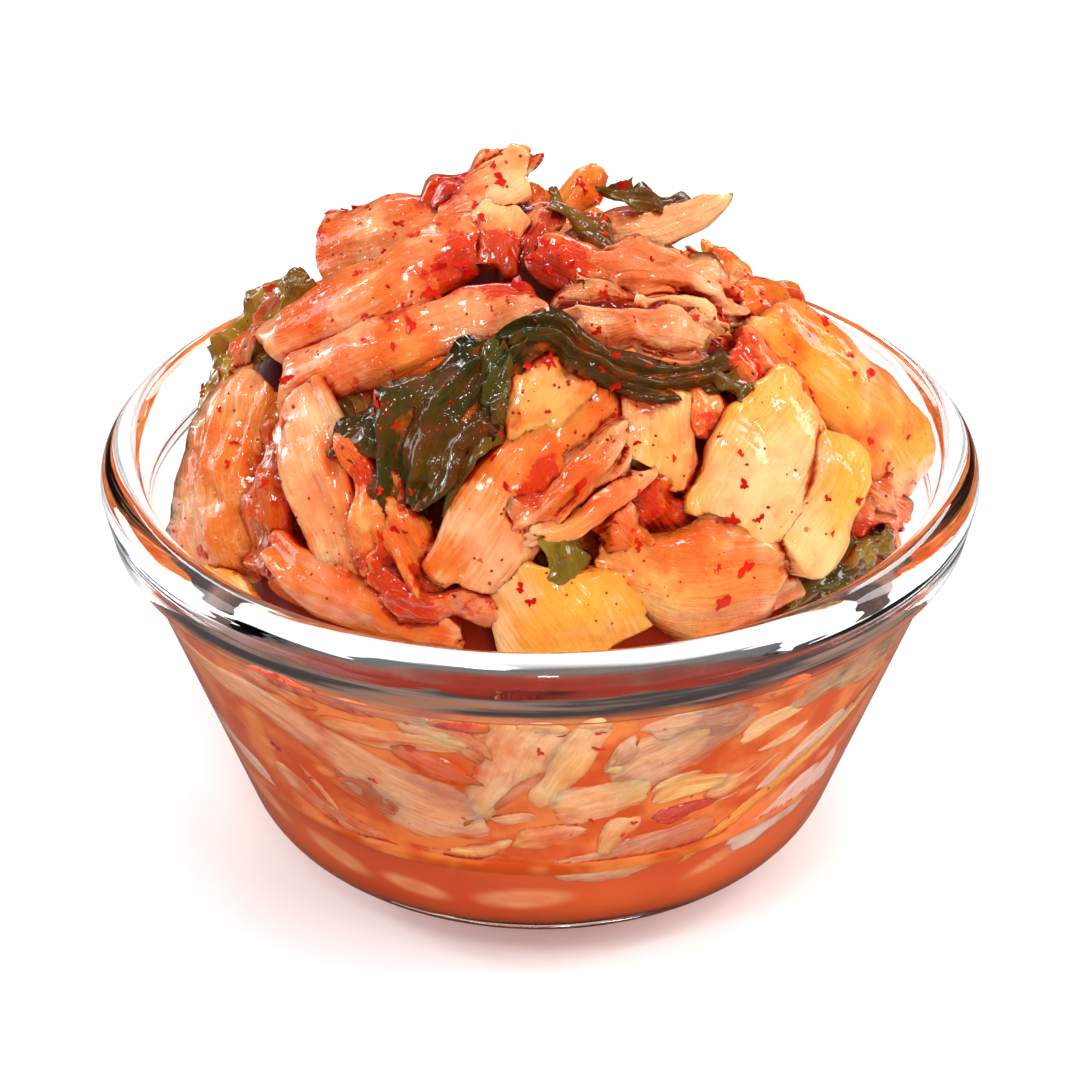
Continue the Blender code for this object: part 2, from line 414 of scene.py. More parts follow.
def lay(kind, shape_name, spine, widths, thick, tones, heart=FRONT_HEART, sauce=0.25,
        at_glass=0.0, **changes):
    """Lays a slab along a spine, in millimetres, and shapes it as a stem or leaf.

    tones are the colours of its face and of its edges; sauce is how much sauce it carries.
    curl is the turn across its width in degrees, roll its turn about the spine. Its face looks
    away from heart. A piece with a reach at_glass is laid on the flat, in mm along the wall and
    up it, then bent round the bowl.
    """
    seed = next(PIECE_SEEDS)
    form = {**SHAPES[shape_name], **changes}
    mesh = BLANKS[shape_name].data.copy()
    cube = positions(mesh)
    along = crowded(cube[:, 0], 0.55, 0.45)
    crisp = crowded(cube[:, 1:], 0.6, 0.4)
    side = crisp[:, 0] * np.sqrt(1 - form["roundness"] * crisp[:, 1] ** 2 / 2)
    up = crisp[:, 1] * np.sqrt(1 - form["roundness"] * crisp[:, 0] ** 2 / 2)
    shares = (along + 1) / 2
    line = np.asarray(spine, float) * MM
    centre, steps, length = smooth_line(line, shares)
    ahead, behind = (smooth_line(line, np.clip(shares + step, 0, 1))[0] for step in (0.02, -0.02))
    forward = unit(ahead - behind)

    # Width and thickness, drawn in towards both ends
    width = spread(widths, steps) * MM
    depth = spread(thick, steps) * MM
    for end, reach in zip((shares * length, (1 - shares) * length), form["ends"]):
        near = np.clip(end / (reach * MM), 0, 1)
        rounding = np.sqrt(1 - (1 - near) ** 2)
        width = width * (0.45 + 0.55 * rounding)
        depth = depth * (0.55 + 0.45 * rounding)
    depth = depth * (form["edge"] + (1 - form["edge"]) * (1 - cube[:, 1] ** 2) ** 0.7)
    rough = flat_cloud(shares * length * 1000 / 5, np.sign(side) * 3, seed)
    width = width + form["ragged"] * MM * rough * np.abs(side) ** 2

    # The way its face looks
    out = unit(centre - np.asarray(heart, float))
    if at_glass:
        out = np.tile([0.0, 0.0, 1.0], (len(centre), 1))
    out = unit(out - forward * np.sum(out * forward, axis=1, keepdims=True))
    across = np.cross(out, forward)
    turn = np.radians(spread(form["roll"], shares))[:, None]
    out, across = out * np.cos(turn) - across * np.sin(turn), across * np.cos(turn) + out * np.sin(turn)

    # Bend across the width, ribs, ruffled edges
    bend = np.radians(spread(form["curl"], shares))
    bend = np.where(np.abs(bend) < 0.02, 0.02, bend)
    radius = width / bend
    angle = side * bend / 2
    rib_depth, rib_count = form["ribs"]
    rib = 1.3 * rib_depth * MM * flat_cloud(
        shares * length / (11 * MM), side * max(rib_count, 0.01) * 0.8, seed + 61)
    threads = shares * length / (5 * MM), side * width / 2 / (0.75 * MM)
    fine = (2.1 * measure for measure in threads)
    rib += form["fibre"] * MM * (flat_cloud(*threads, seed + 51) + 0.5 * flat_cloud(*fine, seed + 52))
    wave_height, wave_count = form["ruffle"]
    wave = wave_height * MM * np.abs(side) ** 1.6 * np.sin(
        2 * pi * wave_count * shares + seed * 1.7 + np.sign(side) * 0.9)
    rise = up * depth / 2 + rib * (0.5 + 0.5 * up) + wave
    first_slant, last_slant = form["slant"]
    if form["slant"] == (0, 0):
        first_slant, last_slant = 1.4 * sin(seed * 2.3), 1.4 * sin(seed * 3.1)
    shift_along = np.where(along > 0, last_slant, first_slant) * np.abs(along) ** 3
    shift_along = shift_along * side * MM + form["ragged"] * MM * 0.7 * flat_cloud(
        side * 2.2, np.sign(along) * 5, seed + 3) * np.abs(along) ** 4
    points = (centre
              + across * (radius * np.sin(angle) + rise * np.sin(angle))[:, None]
              + out * (-radius * (1 - np.cos(angle)) + rise * np.cos(angle))[:, None]
              + forward * shift_along[:, None])

    # Uneven flesh
    swell, swell_size = form["wobble"]
    middle = centre + across * (radius * np.sin(angle))[:, None]
    for axis in range(3):
        points[:, axis] += swell * MM * (
            cloud(middle, swell_size * MM, seed + 11 + axis)
            + 0.4 * cloud(middle, swell_size * 0.4 * MM, seed + 31 + axis))
    fold, fold_size = form["crumple"]
    points += out * (fold * MM * creases(middle, fold_size * MM, seed))[:, None]
    touching = np.ones(len(points))
    if at_glass:
        near_glass = points[:, 2] / MM + 0.12 * cloud(middle, 3 * MM, seed + 81)
        touching = ramp(near_glass, 0.14, SOFT_EDGE)
        points = bend_to_glass(points, at_glass)
    move_to(mesh, points)

    # Colour: the face, its stained edges and a slow drift between them
    drift = 0.5 + 0.5 * cloud(middle, 7 * MM, seed + 5)
    stained = np.clip(0.75 * np.abs(side) ** 3 + 0.7 * drift - 0.1, 0, 1)[:, None]
    if at_glass:
        veins = flat_cloud(shares * length / (6 * MM), side * width / (1.6 * MM), seed + 71)
        stained = np.clip(stained * 0.8 + 0.7 * veins[:, None], 0, 1)
    inner, edge = (np.array(FLESH[t]) for t in tones)
    flesh = inner * (1 - stained) + edge * stained
    paint(mesh, "flesh", flesh * touching[:, None] + np.array(BRINE) * (1 - touching[:, None]),
          "FLOAT_COLOR", "color")
    patches = 0.5 + 0.5 * cloud(middle, 5 * MM, seed + 9)
    paint(mesh, "sauce", sauce * (0.4 + 1.2 * patches))

    layer = mesh.uv_layers.active or mesh.uv_layers.new(name="grain")
    layer.name = "grain"
    corner = np.empty(len(mesh.loops), np.int32)
    mesh.loops.foreach_get("vertex_index", corner)
    grain = np.stack([shares * length + seed * 0.013, side * width / 2 + seed * 0.017], 1) * 100
    layer.data.foreach_set("uv", grain[corner].astype(np.float32).ravel())

    KIND_PIECES.setdefault(kind, []).append(put_in_scene(kind, mesh))


def bend_to_glass(points, reach):
    """Wraps a flat-laid piece round the inside of the bowl, flattened where it meets the glass.

    Comes in as metres along the wall, height, and metres out past the glass; reach is how far it
    goes into the glass, so that pieces laid over others lie a little nearer.
    """
    bearing = points[:, 0] / (WALL_ARC * MM)
    height = np.maximum(points[:, 1], BASE_THICKNESS + 0.5 * MM)
    room = np.array([inside_radius(z) for z in height])
    radius = room + np.minimum(points[:, 2], reach)
    return np.stack([radius * np.sin(bearing), -radius * np.cos(bearing), height], axis=1)


def on_heap(bearing, share, lift=0.0, rise=HEAP_RISE):
    """A place on the heap's rounded outline, in mm, from its shoulder (0) to its top (1)."""
    height = SHOULDER_Z / MM + rise / MM * share
    reach = HEAP_RADIUS / MM * sqrt(max(0.0, 1 - share ** (1 / HEAP_ROUNDNESS)))
    place = Vector((reach * sin(radians(bearing)), -reach * cos(radians(bearing)), height))
    away = (place - Vector((0, 0, HEART_Z))).normalized()
    return tuple(place + away * lift)


def over_heap(bearing, swing, share, climb, lift, drop, rise=HEAP_RISE):
    """A line across the heap, in mm: its ends swing to the sides and lie lower by drop."""
    return [on_heap(bearing - swing, max(share - climb, 0), lift - drop, rise),
            on_heap(bearing, share, lift, rise),
            on_heap(bearing + swing, max(share + climb, 0), lift - drop, rise)]


BLANKS = {
    "stem": blank_slab("stem_blank", 46, 20, 3),
    "leaf": blank_slab("leaf_blank", 52, 26, 1),
    "green": blank_slab("green_blank", 60, 26, 1),
    "mid": blank_slab("mid_blank", 38, 16, 1),
    "scrap": blank_slab("scrap_blank", 26, 14, 1),
}


def lay_front():
    """The named pieces of the heap's front, from the top down."""
    upper, lower = (partial(lay, "cabbage_stems_" + place, "stem") for place in ("upper", "lower"))
    leaf = partial(lay, "cabbage_leaves", "leaf")
    green = partial(lay, "green_leaf", "green")

    # Left shoulder and peak
    upper([(-26, -2, 80), (-18.5, -5, 83), (-10, -6, 85)], (11, 11, 9), 5, ("amber", "orange"), sauce=0.3,
        curl=70, ends=(0.6, 2), slant=(-1.5, 0))
    upper([(-12, -8, 87), (-6.5, -8.5, 89.5), (-1.5, -6, 92)], (5, 7, 7), 3, ("pale", "petal"), sauce=0.3,
        curl=50, roll=(-20, 10))
    leaf([(-12.5, -6, 87.5), (-7, -6, 91), (-2, -4.5, 93.5)], (6, 7, 5), 0.8, ("petal", "pale"), sauce=0.45,
        crumple=(0.5, 4), ribs=(0.5, 5))
    upper([(-4.5, -10, 89), (-5.5, -14, 86), (-5, -17, 83.5)], (6, 6, 3.5), 3.5, ("yellow", "amber"),
        sauce=0.2, curl=60)
    leaf([(1, -5, 89), (-1.5, -12, 87), (-3.5, -16, 84)], (6, 6, 4), 0.9, ("orange", "blush"), sauce=0.5)

    # Two long stems that run down to the left, with a sauce-filled groove between
    upper([(-31.5, -14, 72.5), (-22, -17.5, 79.5), (-14, -16.5, 84), (-7, -13.5, 86)], (7, 7.5, 9.5, 8),
        (5, 5, 4.5, 4), ("blush", "orange"), sauce=0.3, curl=70, ends=(0.8, 2))
    upper([(-30, -20, 69.5), (-19.5, -23, 76), (-10.5, -23.5, 80), (1.5, -21.5, 81)], (6, 7.5, 7.5, 6),
        (5.5, 5.5, 5, 4), ("pale", "orange"), sauce=0.4, curl=80, ends=(2.5, 2))

    # Behind the peak, and the leaf that reaches out to the right
    upper([(2.5, -7, 87), (4.5, -6, 89), (7, -5.5, 90.5)], (4, 5, 5.5), 2.5, ("amber", "pale"), sauce=0.25)
    leaf([(4, -12.5, 85.5), (12, -10.5, 86.5), (18, -8.5, 88), (21.5, -7, 90)], (6, 6.5, 6, 3.5), 1.3,
        ("petal", "petal"), sauce=0.0, curl=70, crumple=(0.2, 5), ruffle=(0.3, 1.2), ribs=(0.3, 3),
        ragged=0.4)
    green([(8.5, -9.5, 91.5), (12, -9.5, 90), (17, -7, 88)], (2.5, 5, 2), 0.7, ("green", "olive"),
        sauce=0.1)
    green([(0.5, -8, 89.5), (4, -12, 88.5), (9, -15, 84.5), (13, -18, 82.5)], (2, 4, 2.5, 1.5), 0.7,
        ("olive", "brown"), sauce=0.3)
    upper([(-1, -15.5, 86.5), (3, -17.5, 85), (7.5, -18.5, 82.5)], (6.5, 7, 6), 4.5, ("orange", "amber"),
        sauce=0.45, curl=60, ends=(2.5, 2.5))

    # Crumpled sheer leaves right of the middle
    leaf([(5, -18.5, 85), (12, -18.5, 84.5), (18, -17, 82), (22.5, -15, 78.5)], (6, 10, 10, 7), 0.8,
        ("petal", "blush"), sauce=0.24, crumple=(1.3, 4.5), ribs=(1.1, 6), curl=70, wobble=(0.8, 5))
    leaf([(3, -23.5, 81), (9, -25, 81.5), (15, -24.3, 80), (21.5, -20.5, 77)], (6, 9, 11, 7), 0.8,
        ("petal", "orange"), sauce=0.2, crumple=(1.2, 4), curl=60, ribs=(1.2, 6), wobble=(0.8, 5))
    leaf([(10, -24.5, 82.5), (15, -24.3, 82), (19.5, -22, 79), (22, -19.5, 75)], (4, 7, 7, 4), 0.7,
        ("petal", "pale"), sauce=0.1, curl=140, crumple=(0.6, 3.5), ribs=(0.9, 5), ruffle=(1.0, 1.5))
    leaf([(17, -12, 84), (21, -13.5, 80.5), (25, -16, 76)], (5, 5, 4), 0.8, ("amber", "orange"), sauce=0.5,
        ribs=(0.4, 5))

    # Right side: chunk, thick stem down to the rim, ribs beside it
    upper([(22.5, -14.5, 77.5), (26, -11.5, 77), (29.5, -8, 74.5)], (6, 6, 5), 4, ("amber", "orange"),
        sauce=0.3, curl=60, ends=(2, 2))
    upper([(25, -15, 77), (34, -15.5, 69), (41.5, -12, 59.5), (45.5, -9, 51.5)], (8, 11, 11.5, 9),
        (6, 7, 7, 5), ("yellow", "amber"), sauce=0.22, curl=60, ends=(2.5, 2.5), ribs=(0.5, 1.0))
    upper([(23, -20, 76.5), (26.5, -24, 70)], (4.5, 5.5), 4.5, ("blush", "orange"), sauce=0.35, curl=60,
        ends=(2, 2.5))
    upper([(27, -19, 73), (30, -22, 68)], (4, 4.5), 4, ("orange", "blush"), sauce=0.4)

    # The big folded chunk: flat left face and a rounded rib on its right
    lower([(35, -25.5, 66.2), (33.6, -29.8, 62.4), (31.8, -33.5, 58.4), (30.4, -36.2, 55.3)],
        (9, 9.5, 8.5, 6.5), (6, 7, 7, 5.5), ("yellow", "amber"), sauce=0.05, curl=60, roll=-10,
        ends=(2.5, 2.5), slant=(0, 0.5), wobble=(1.0, 5))
    lower([(31, -24.5, 70), (27.2, -29.7, 68), (23.9, -33.9, 65), (21.7, -37.5, 60)], (12, 15, 14.5, 11.5),
        (4, 6, 6, 5), ("pale", "yellow"), sauce=0.08, curl=35, roll=(4, 0), ends=(2, 0.3), ribs=(0.5, 1),
        wobble=(0.9, 7), slant=(1.5, 0.8))

    # Cream slab with a torn right edge, and the round stem beside it
    lower([(14, -29.5, 74.5), (13.9, -33, 71), (13, -36.5, 67)], (8.5, 9.5, 9), 3.2, ("pale", "petal"),
        sauce=0.1, curl=50, ragged=1.0, ends=(1.5, 0.4), slant=(0, 1.5), wobble=(0.5, 6), roll=(0, -12))
    lower([(18.5, -28, 74), (19.5, -30.5, 71.5), (20, -31.5, 69)], (3.5, 4.4, 4), 3.8, ("pale", "amber"),
        sauce=0.3, curl=90, ends=(1.5, 1.8))

    # The dark green leaf: a broad hanging lobe and a strap across the front
    green([(-1, -27.5, 82), (-7.5, -32.5, 78.5), (-13, -36.5, 73), (-15, -39.5, 65)], (4, 12, 15, 8), 0.9,
        ("green", "bottle"), sauce=0.04, crumple=(1.0, 3.5), ribs=(1.7, 6), ruffle=(1.4, 2.6))
    green([(-4, -29.5, 80.5), (-5.5, -33.5, 77), (-7.5, -37.5, 71), (-10.5, -40, 66)], (4, 6, 6, 2.5), 0.8,
        ("green", "olive"), sauce=0.04, crumple=(1.0, 4), roll=(20, 50))
    green([(-13, -33, 75), (-18.5, -34, 71.5), (-22.5, -33.5, 68.5)], (5, 8, 5), 0.8, ("green", "bottle"),
        sauce=0.05, crumple=(1.0, 4))
    green([(-4, -29.5, 81.5), (2.5, -29.8, 81.5), (9, -31, 78.5), (17, -29.8, 76.8), (22, -26.8, 76.3)],
        (4, 5, 5.5, 5, 4.5), 0.9, ("green", "bottle"), sauce=0.04, crumple=(0.6, 3), ribs=(1.3, 4))
    green([(20.5, -27.5, 76.5), (23, -28.5, 73.5), (21, -31.5, 69.5)], (4, 4, 1.5), 0.8, ("green", "olive"),
        sauce=0.06, crumple=(0.7, 4))

    # Stems and leaves in the middle of the front
    lower([(3.5, -29.5, 77.5), (-0.5, -33, 74.5), (-4, -35, 71.5)], (8, 8.5, 7), 3.5, ("pale", "amber"),
        sauce=0.2, curl=20, ends=(1, 1))
    lower([(7.5, -29.5, 76), (1, -36, 70.5), (-5, -41, 63.5), (-9.5, -43, 57)], (7, 11, 12, 9.5),
        (3, 5, 5, 4), ("blush", "amber"), sauce=0.2, curl=45, ends=(2, 1.2), ribs=(0.45, 2))
    leaf([(9.5, -35, 73), (6, -39, 69.5), (1, -41.5, 66.5), (-3, -42.5, 63.5)], (6, 7.5, 7.5, 5), 0.8,
        ("blush", "petal"), sauce=0.22, crumple=(0.5, 3.5), ribs=(0.8, 6), curl=70)
    lower([(12, -37.5, 69), (6, -41.3, 65.5), (0, -42.8, 63.5)], (2.2, 2.8, 2), 2, ("blush", "pale"),
        sauce=0.3, curl=80, crumple=(0.3, 3))

    # Curled green leaf, sheer shards and the broad flat leaf at the lower right
    green([(6, -41.5, 64.5), (2.5, -43.5, 62.5), (4, -45.3, 57)], (4, 6.5, 4), 1.2, ("lime", "olive"),
        sauce=0.15, curl=150, crumple=(0.6, 4))
    leaf([(6.5, -39.5, 65.5), (9.5, -41.3, 63.5), (12.5, -41.8, 59.5)], (5, 6, 3), 0.9, ("orange", "blush"),
        sauce=0.3, crumple=(0.8, 3.5))
    leaf([(11, -38, 66.5), (15, -38.5, 62.5), (18, -38.5, 60)], (6, 8, 7), 0.9, ("orange", "orange"),
        sauce=0.6)
    lower([(19, -41, 51.5), (24, -38.5, 52.5), (29, -35.5, 54)], (6, 7, 6), 2.4, ("blush", "orange"),
        sauce=0.3, curl=40, ribs=(0.5, 3))
    leaf([(6.5, -42.5, 60), (11.4, -43.6, 58.8), (17.1, -43, 57.2), (23, -40.5, 56), (27.5, -37.5, 54.5)],
        (4, 13, 16, 13, 8), 1.1, ("pale", "orange"), sauce=0.24, curl=12, crumple=(0.15, 7),
        ruffle=(0.35, 1), ragged=0.5, ends=(1.5, 1), wobble=(0.5, 9), fibre=0.0, ribs=(0.35, 4), roll=-8)
    lower([(-1, -42, 59), (1, -44.2, 55.5), (3.8, -45.2, 52), (5.5, -45.4, 49)], (9, 13, 21, 24),
        (4, 5, 5, 4), ("yellow", "amber"), sauce=0.0, curl=50, ends=(1.5, 0.5), ribs=(0.4, 1),
        slant=(2.5, 0.1))

    # Right edge: dark scraps and small leaves by the rim
    green([(28, -37, 49.5), (34, -33, 51.5), (39, -27.5, 52.5)], (4, 6, 5), 0.9, ("olive", "bottle"),
        sauce=0.25, crumple=(1.1, 3.5))
    green([(33, -34.5, 50), (38.5, -29, 52), (42.5, -22, 50.5)], (3, 4.5, 4), 0.9, ("lime", "olive"),
        sauce=0.2, crumple=(0.9, 3))
    leaf([(38.5, -19, 57.5), (42, -18, 54), (44, -16, 50)], (5, 6, 5), 0.9, ("blush", "orange"), sauce=0.35,
        crumple=(0.9, 4))
    leaf([(36, -24, 56), (39.5, -23.5, 53), (42, -21, 50)], (6, 6, 5), 0.9, ("orange", "blush"), sauce=0.5,
        crumple=(0.9, 4))

    # Left side: fibrous cut stem, red folds, the broad leaf and the roll at the rim
    lower([(-28.5, -24.5, 70.5), (-26, -31.5, 66), (-23, -37, 59), (-21, -40, 54)], (9, 9.5, 9, 7),
        (3, 2.6, 2.4, 2), ("petal", "blush"), sauce=0.14, curl=15, ends=(0.3, 2), ribs=(0.45, 4),
        fibre=0.22)
    leaf([(-22, -31.5, 69.5), (-19.5, -36, 67.3), (-18.5, -39.5, 63), (-18, -41.5, 58)], (5, 8, 9, 8), 1.1,
        ("pale", "orange"), sauce=0.42, curl=70, crumple=(0.7, 4), ribs=(0.8, 4))
    leaf([(-18.5, -36.5, 66), (-16.5, -40.2, 62), (-15, -42.3, 57.7), (-13, -43.6, 54.5)], (6, 9, 10, 7),
        1.1, ("pale", "blush"), sauce=0.34, curl=90, crumple=(0.9, 4), ribs=(1.0, 4), roll=(10, -15))
    leaf([(-19.5, -40.5, 57), (-15, -43.3, 54.7), (-9, -44.8, 54.2), (-4, -45, 54)], (5, 6, 4.5, 3), 1.0,
        ("orange", "pale"), sauce=0.55, curl=90, crumple=(0.8, 3.5))
    leaf([(-33, -16, 69), (-36, -22.5, 62), (-36, -28, 55), (-33.5, -29.5, 50)], (10, 22, 25, 18), 1.4,
        ("blush", "amber"), sauce=0.26, curl=40, roll=-10, crumple=(0.6, 5), ruffle=(0.5, 1), ribs=(0.4, 6))
    leaf([(-30, -22.5, 68), (-32, -28, 60.5), (-32.5, -32, 52)], (5, 8, 9), 1.0, ("brown", "orange"),
        sauce=0.5, crumple=(1.0, 5))
    lower([(-31, -32, 55), (-28, -36.5, 54), (-20, -41.5, 52.3), (-9, -45, 50.5)], (6, 8, 8, 6),
        (3, 3.4, 3, 2.4), ("blush", "orange"), sauce=0.26, curl=150, ends=(1.5, 2), ribs=(0.7, 4),
        crumple=(0.5, 5), fibre=0.15)
    lower([(-38.5, -28, 50.5), (-33, -34.5, 49.8)], (1.4, 1.2), 1.4, ("yellow", "amber"), sauce=0.05)
    green([(-38.5, -14, 63), (-37, -11, 69), (-33, -9, 74.5), (-28, -6, 78)], (5, 9, 9, 6), 0.9,
        ("lime", "brown"), sauce=0.35, crumple=(1.6, 3.2), ribs=(0.6, 4))
    leaf([(-38, -13, 66), (-34, -11.5, 71.5), (-30.5, -9.5, 75.5)], (4, 5, 4), 0.8, ("mauve", "brown"),
        sauce=0.5, crumple=(1.0, 3.5), ribs=(0.4, 6))

    # In the shadow under the long stems
    lower([(-18.5, -25.5, 73.5), (-11.5, -28, 75.5), (-5, -27, 77)], (6, 7, 6), 3, ("orange", "amber"),
        sauce=0.3, curl=30)
    green([(-25.5, -23, 71.5), (-21.5, -27, 70.5), (-19, -30, 68)], (5, 7, 5), 0.9, ("olive", "brown"),
        sauce=0.2)


def lay_filling():
    """Plainer pieces that pack the heap under and behind the named ones."""
    pairs = [("amber", "orange"), ("pale", "blush"), ("yellow", "amber"), ("blush", "orange"),
             ("cream", "pale"), ("orange", "amber")]
    stem_section = {key: SHAPES["stem"][key] for key in ("edge", "roundness", "ends", "ruffle", "crumple")}
    for i in range(UNDER_COUNT):
        bearing = -72 + i * 7.6 + random.uniform(-4, 4)
        share = (0.12, 0.42, 0.7, 0.28)[i % 4] + random.uniform(-0.05, 0.05)
        swing = random.uniform(9, 16) * random.choice((-1, 1))
        line = over_heap(bearing, swing, share, -0.08, -4.5, 1)
        lay("cabbage_under", "mid", line, (8, 10, 8), 3 if i % 2 else 1.2, pairs[i % 6], sauce=0.6)
    for i in range(SCRAP_COUNT):
        bearing = (i * 61) % 140 - 70 + random.uniform(-4, 4)
        share = (0.08, 0.3, 0.55, 0.78)[i % 4] + random.uniform(-0.08, 0.08)
        swing = random.uniform(4, 8) * random.choice((-1, 1))
        climb = random.uniform(-0.12, 0.12)
        line = over_heap(bearing, swing, share, climb, -4, 1)
        lay("cabbage_scraps", "scrap", line, (3, random.uniform(4, 7), 3), 0.8, pairs[i % 6], sauce=0.5,
            crumple=(1.1, 3.5), curl=random.uniform(40, 140))
    for i in range(BACK_COUNT):
        bearing = 100 + (i * 47) % 160 + random.uniform(-6, 6)
        share = (0.05, 0.26, 0.48, 0.68, 0.86)[i % 5] + random.uniform(-0.05, 0.05)
        swing = random.uniform(10, 18) / max(0.35, 1 - share) * random.choice((-1, 1))
        tilt = random.uniform(-0.16, 0.16)
        sideways = max(0.0, 1 - abs(abs((bearing + 180) % 360 - 180) - 95) / 40)
        lift = random.uniform(-2.5, 0.5) - 9 * sideways * (1 - share)
        if 100 < bearing < 165 and share > 0.4:
            lift -= 2.5
        line = over_heap(bearing, swing, share, -tilt, lift, 1.5, BACK_RISE)
        if i % 9 == 4:
            lay("green_leaf", "green", line, (6, 9, 5), 0.9, ("green", "olive"), heart=BACK_HEART,
                sauce=0.1)
        elif i % 3:
            lay("cabbage_back", "mid", line, (random.uniform(6, 9), random.uniform(9, 13), 8), 4.5,
                pairs[i % 6], heart=BACK_HEART, sauce=0.25, curl=random.uniform(30, 80),
                **stem_section)
        else:
            lay("cabbage_back", "mid", line, (9, random.uniform(11, 15), 9), 1.1, pairs[i % 6],
                heart=BACK_HEART, sauce=0.35)

    # Over the ridge behind the front pieces, and down both sides
    ridge = [
        ([(-23, 0, 71), (-15, 3, 74.5), (-6, 4, 76.5)], 0), ([(-6, 5, 76.5), (2, 5.5, 76), (10, 4, 73)], 2),
        ([(-4, 0, 82), (2, 0.5, 81), (8, -0.5, 79)], 4), ([(-21, -6, 77.5), (-13, -4, 80), (-5, -3, 82)], 3),
        ([(-26, 2, 66), (-24, 8, 65), (-19, 13, 65.5)], 4), ([(5, -2, 81), (12, -3, 79), (18, -5, 76)], 3),
        ([(19, 0, 69), (22, 5, 65), (22, 11, 61)], 1), ([(-12, 0, 79.5), (-5, 1.5, 80.5), (0, 2, 80)], 1),
        ([(-18, 9, 70), (-9, 11, 72.5), (0, 11, 73)], 3), ([(3, 10, 72), (11, 9, 70), (18, 6, 65)], 5),
    ]
    for line, pair in ridge:
        lay("cabbage_back", "mid", line, (7, 10, 7), 3, pairs[pair], heart=BACK_HEART, sauce=0.3,
            curl=random.uniform(40, 80))
    for i in range(SIDE_COUNT):
        on_left = i % 2
        bearing = 82 + (i // 2) * 5
        share = (0.04, 0.3, 0.55, 0.2, 0.45, 0.72, 0.12, 0.36)[i // 2]
        climb = random.uniform(0.04, 0.16) * random.choice((-1, 1))
        line = over_heap(bearing, 12, share, climb, -3.5, 2, BACK_RISE)
        if on_left:
            line = [(-x, y, z) for x, y, z in line]
        lay("cabbage_back", "scrap", line, (5, random.uniform(8, 11), 5), 2.4, pairs[(i * 5) % 6],
            heart=BACK_HEART, sauce=0.35, curl=random.uniform(30, 80))


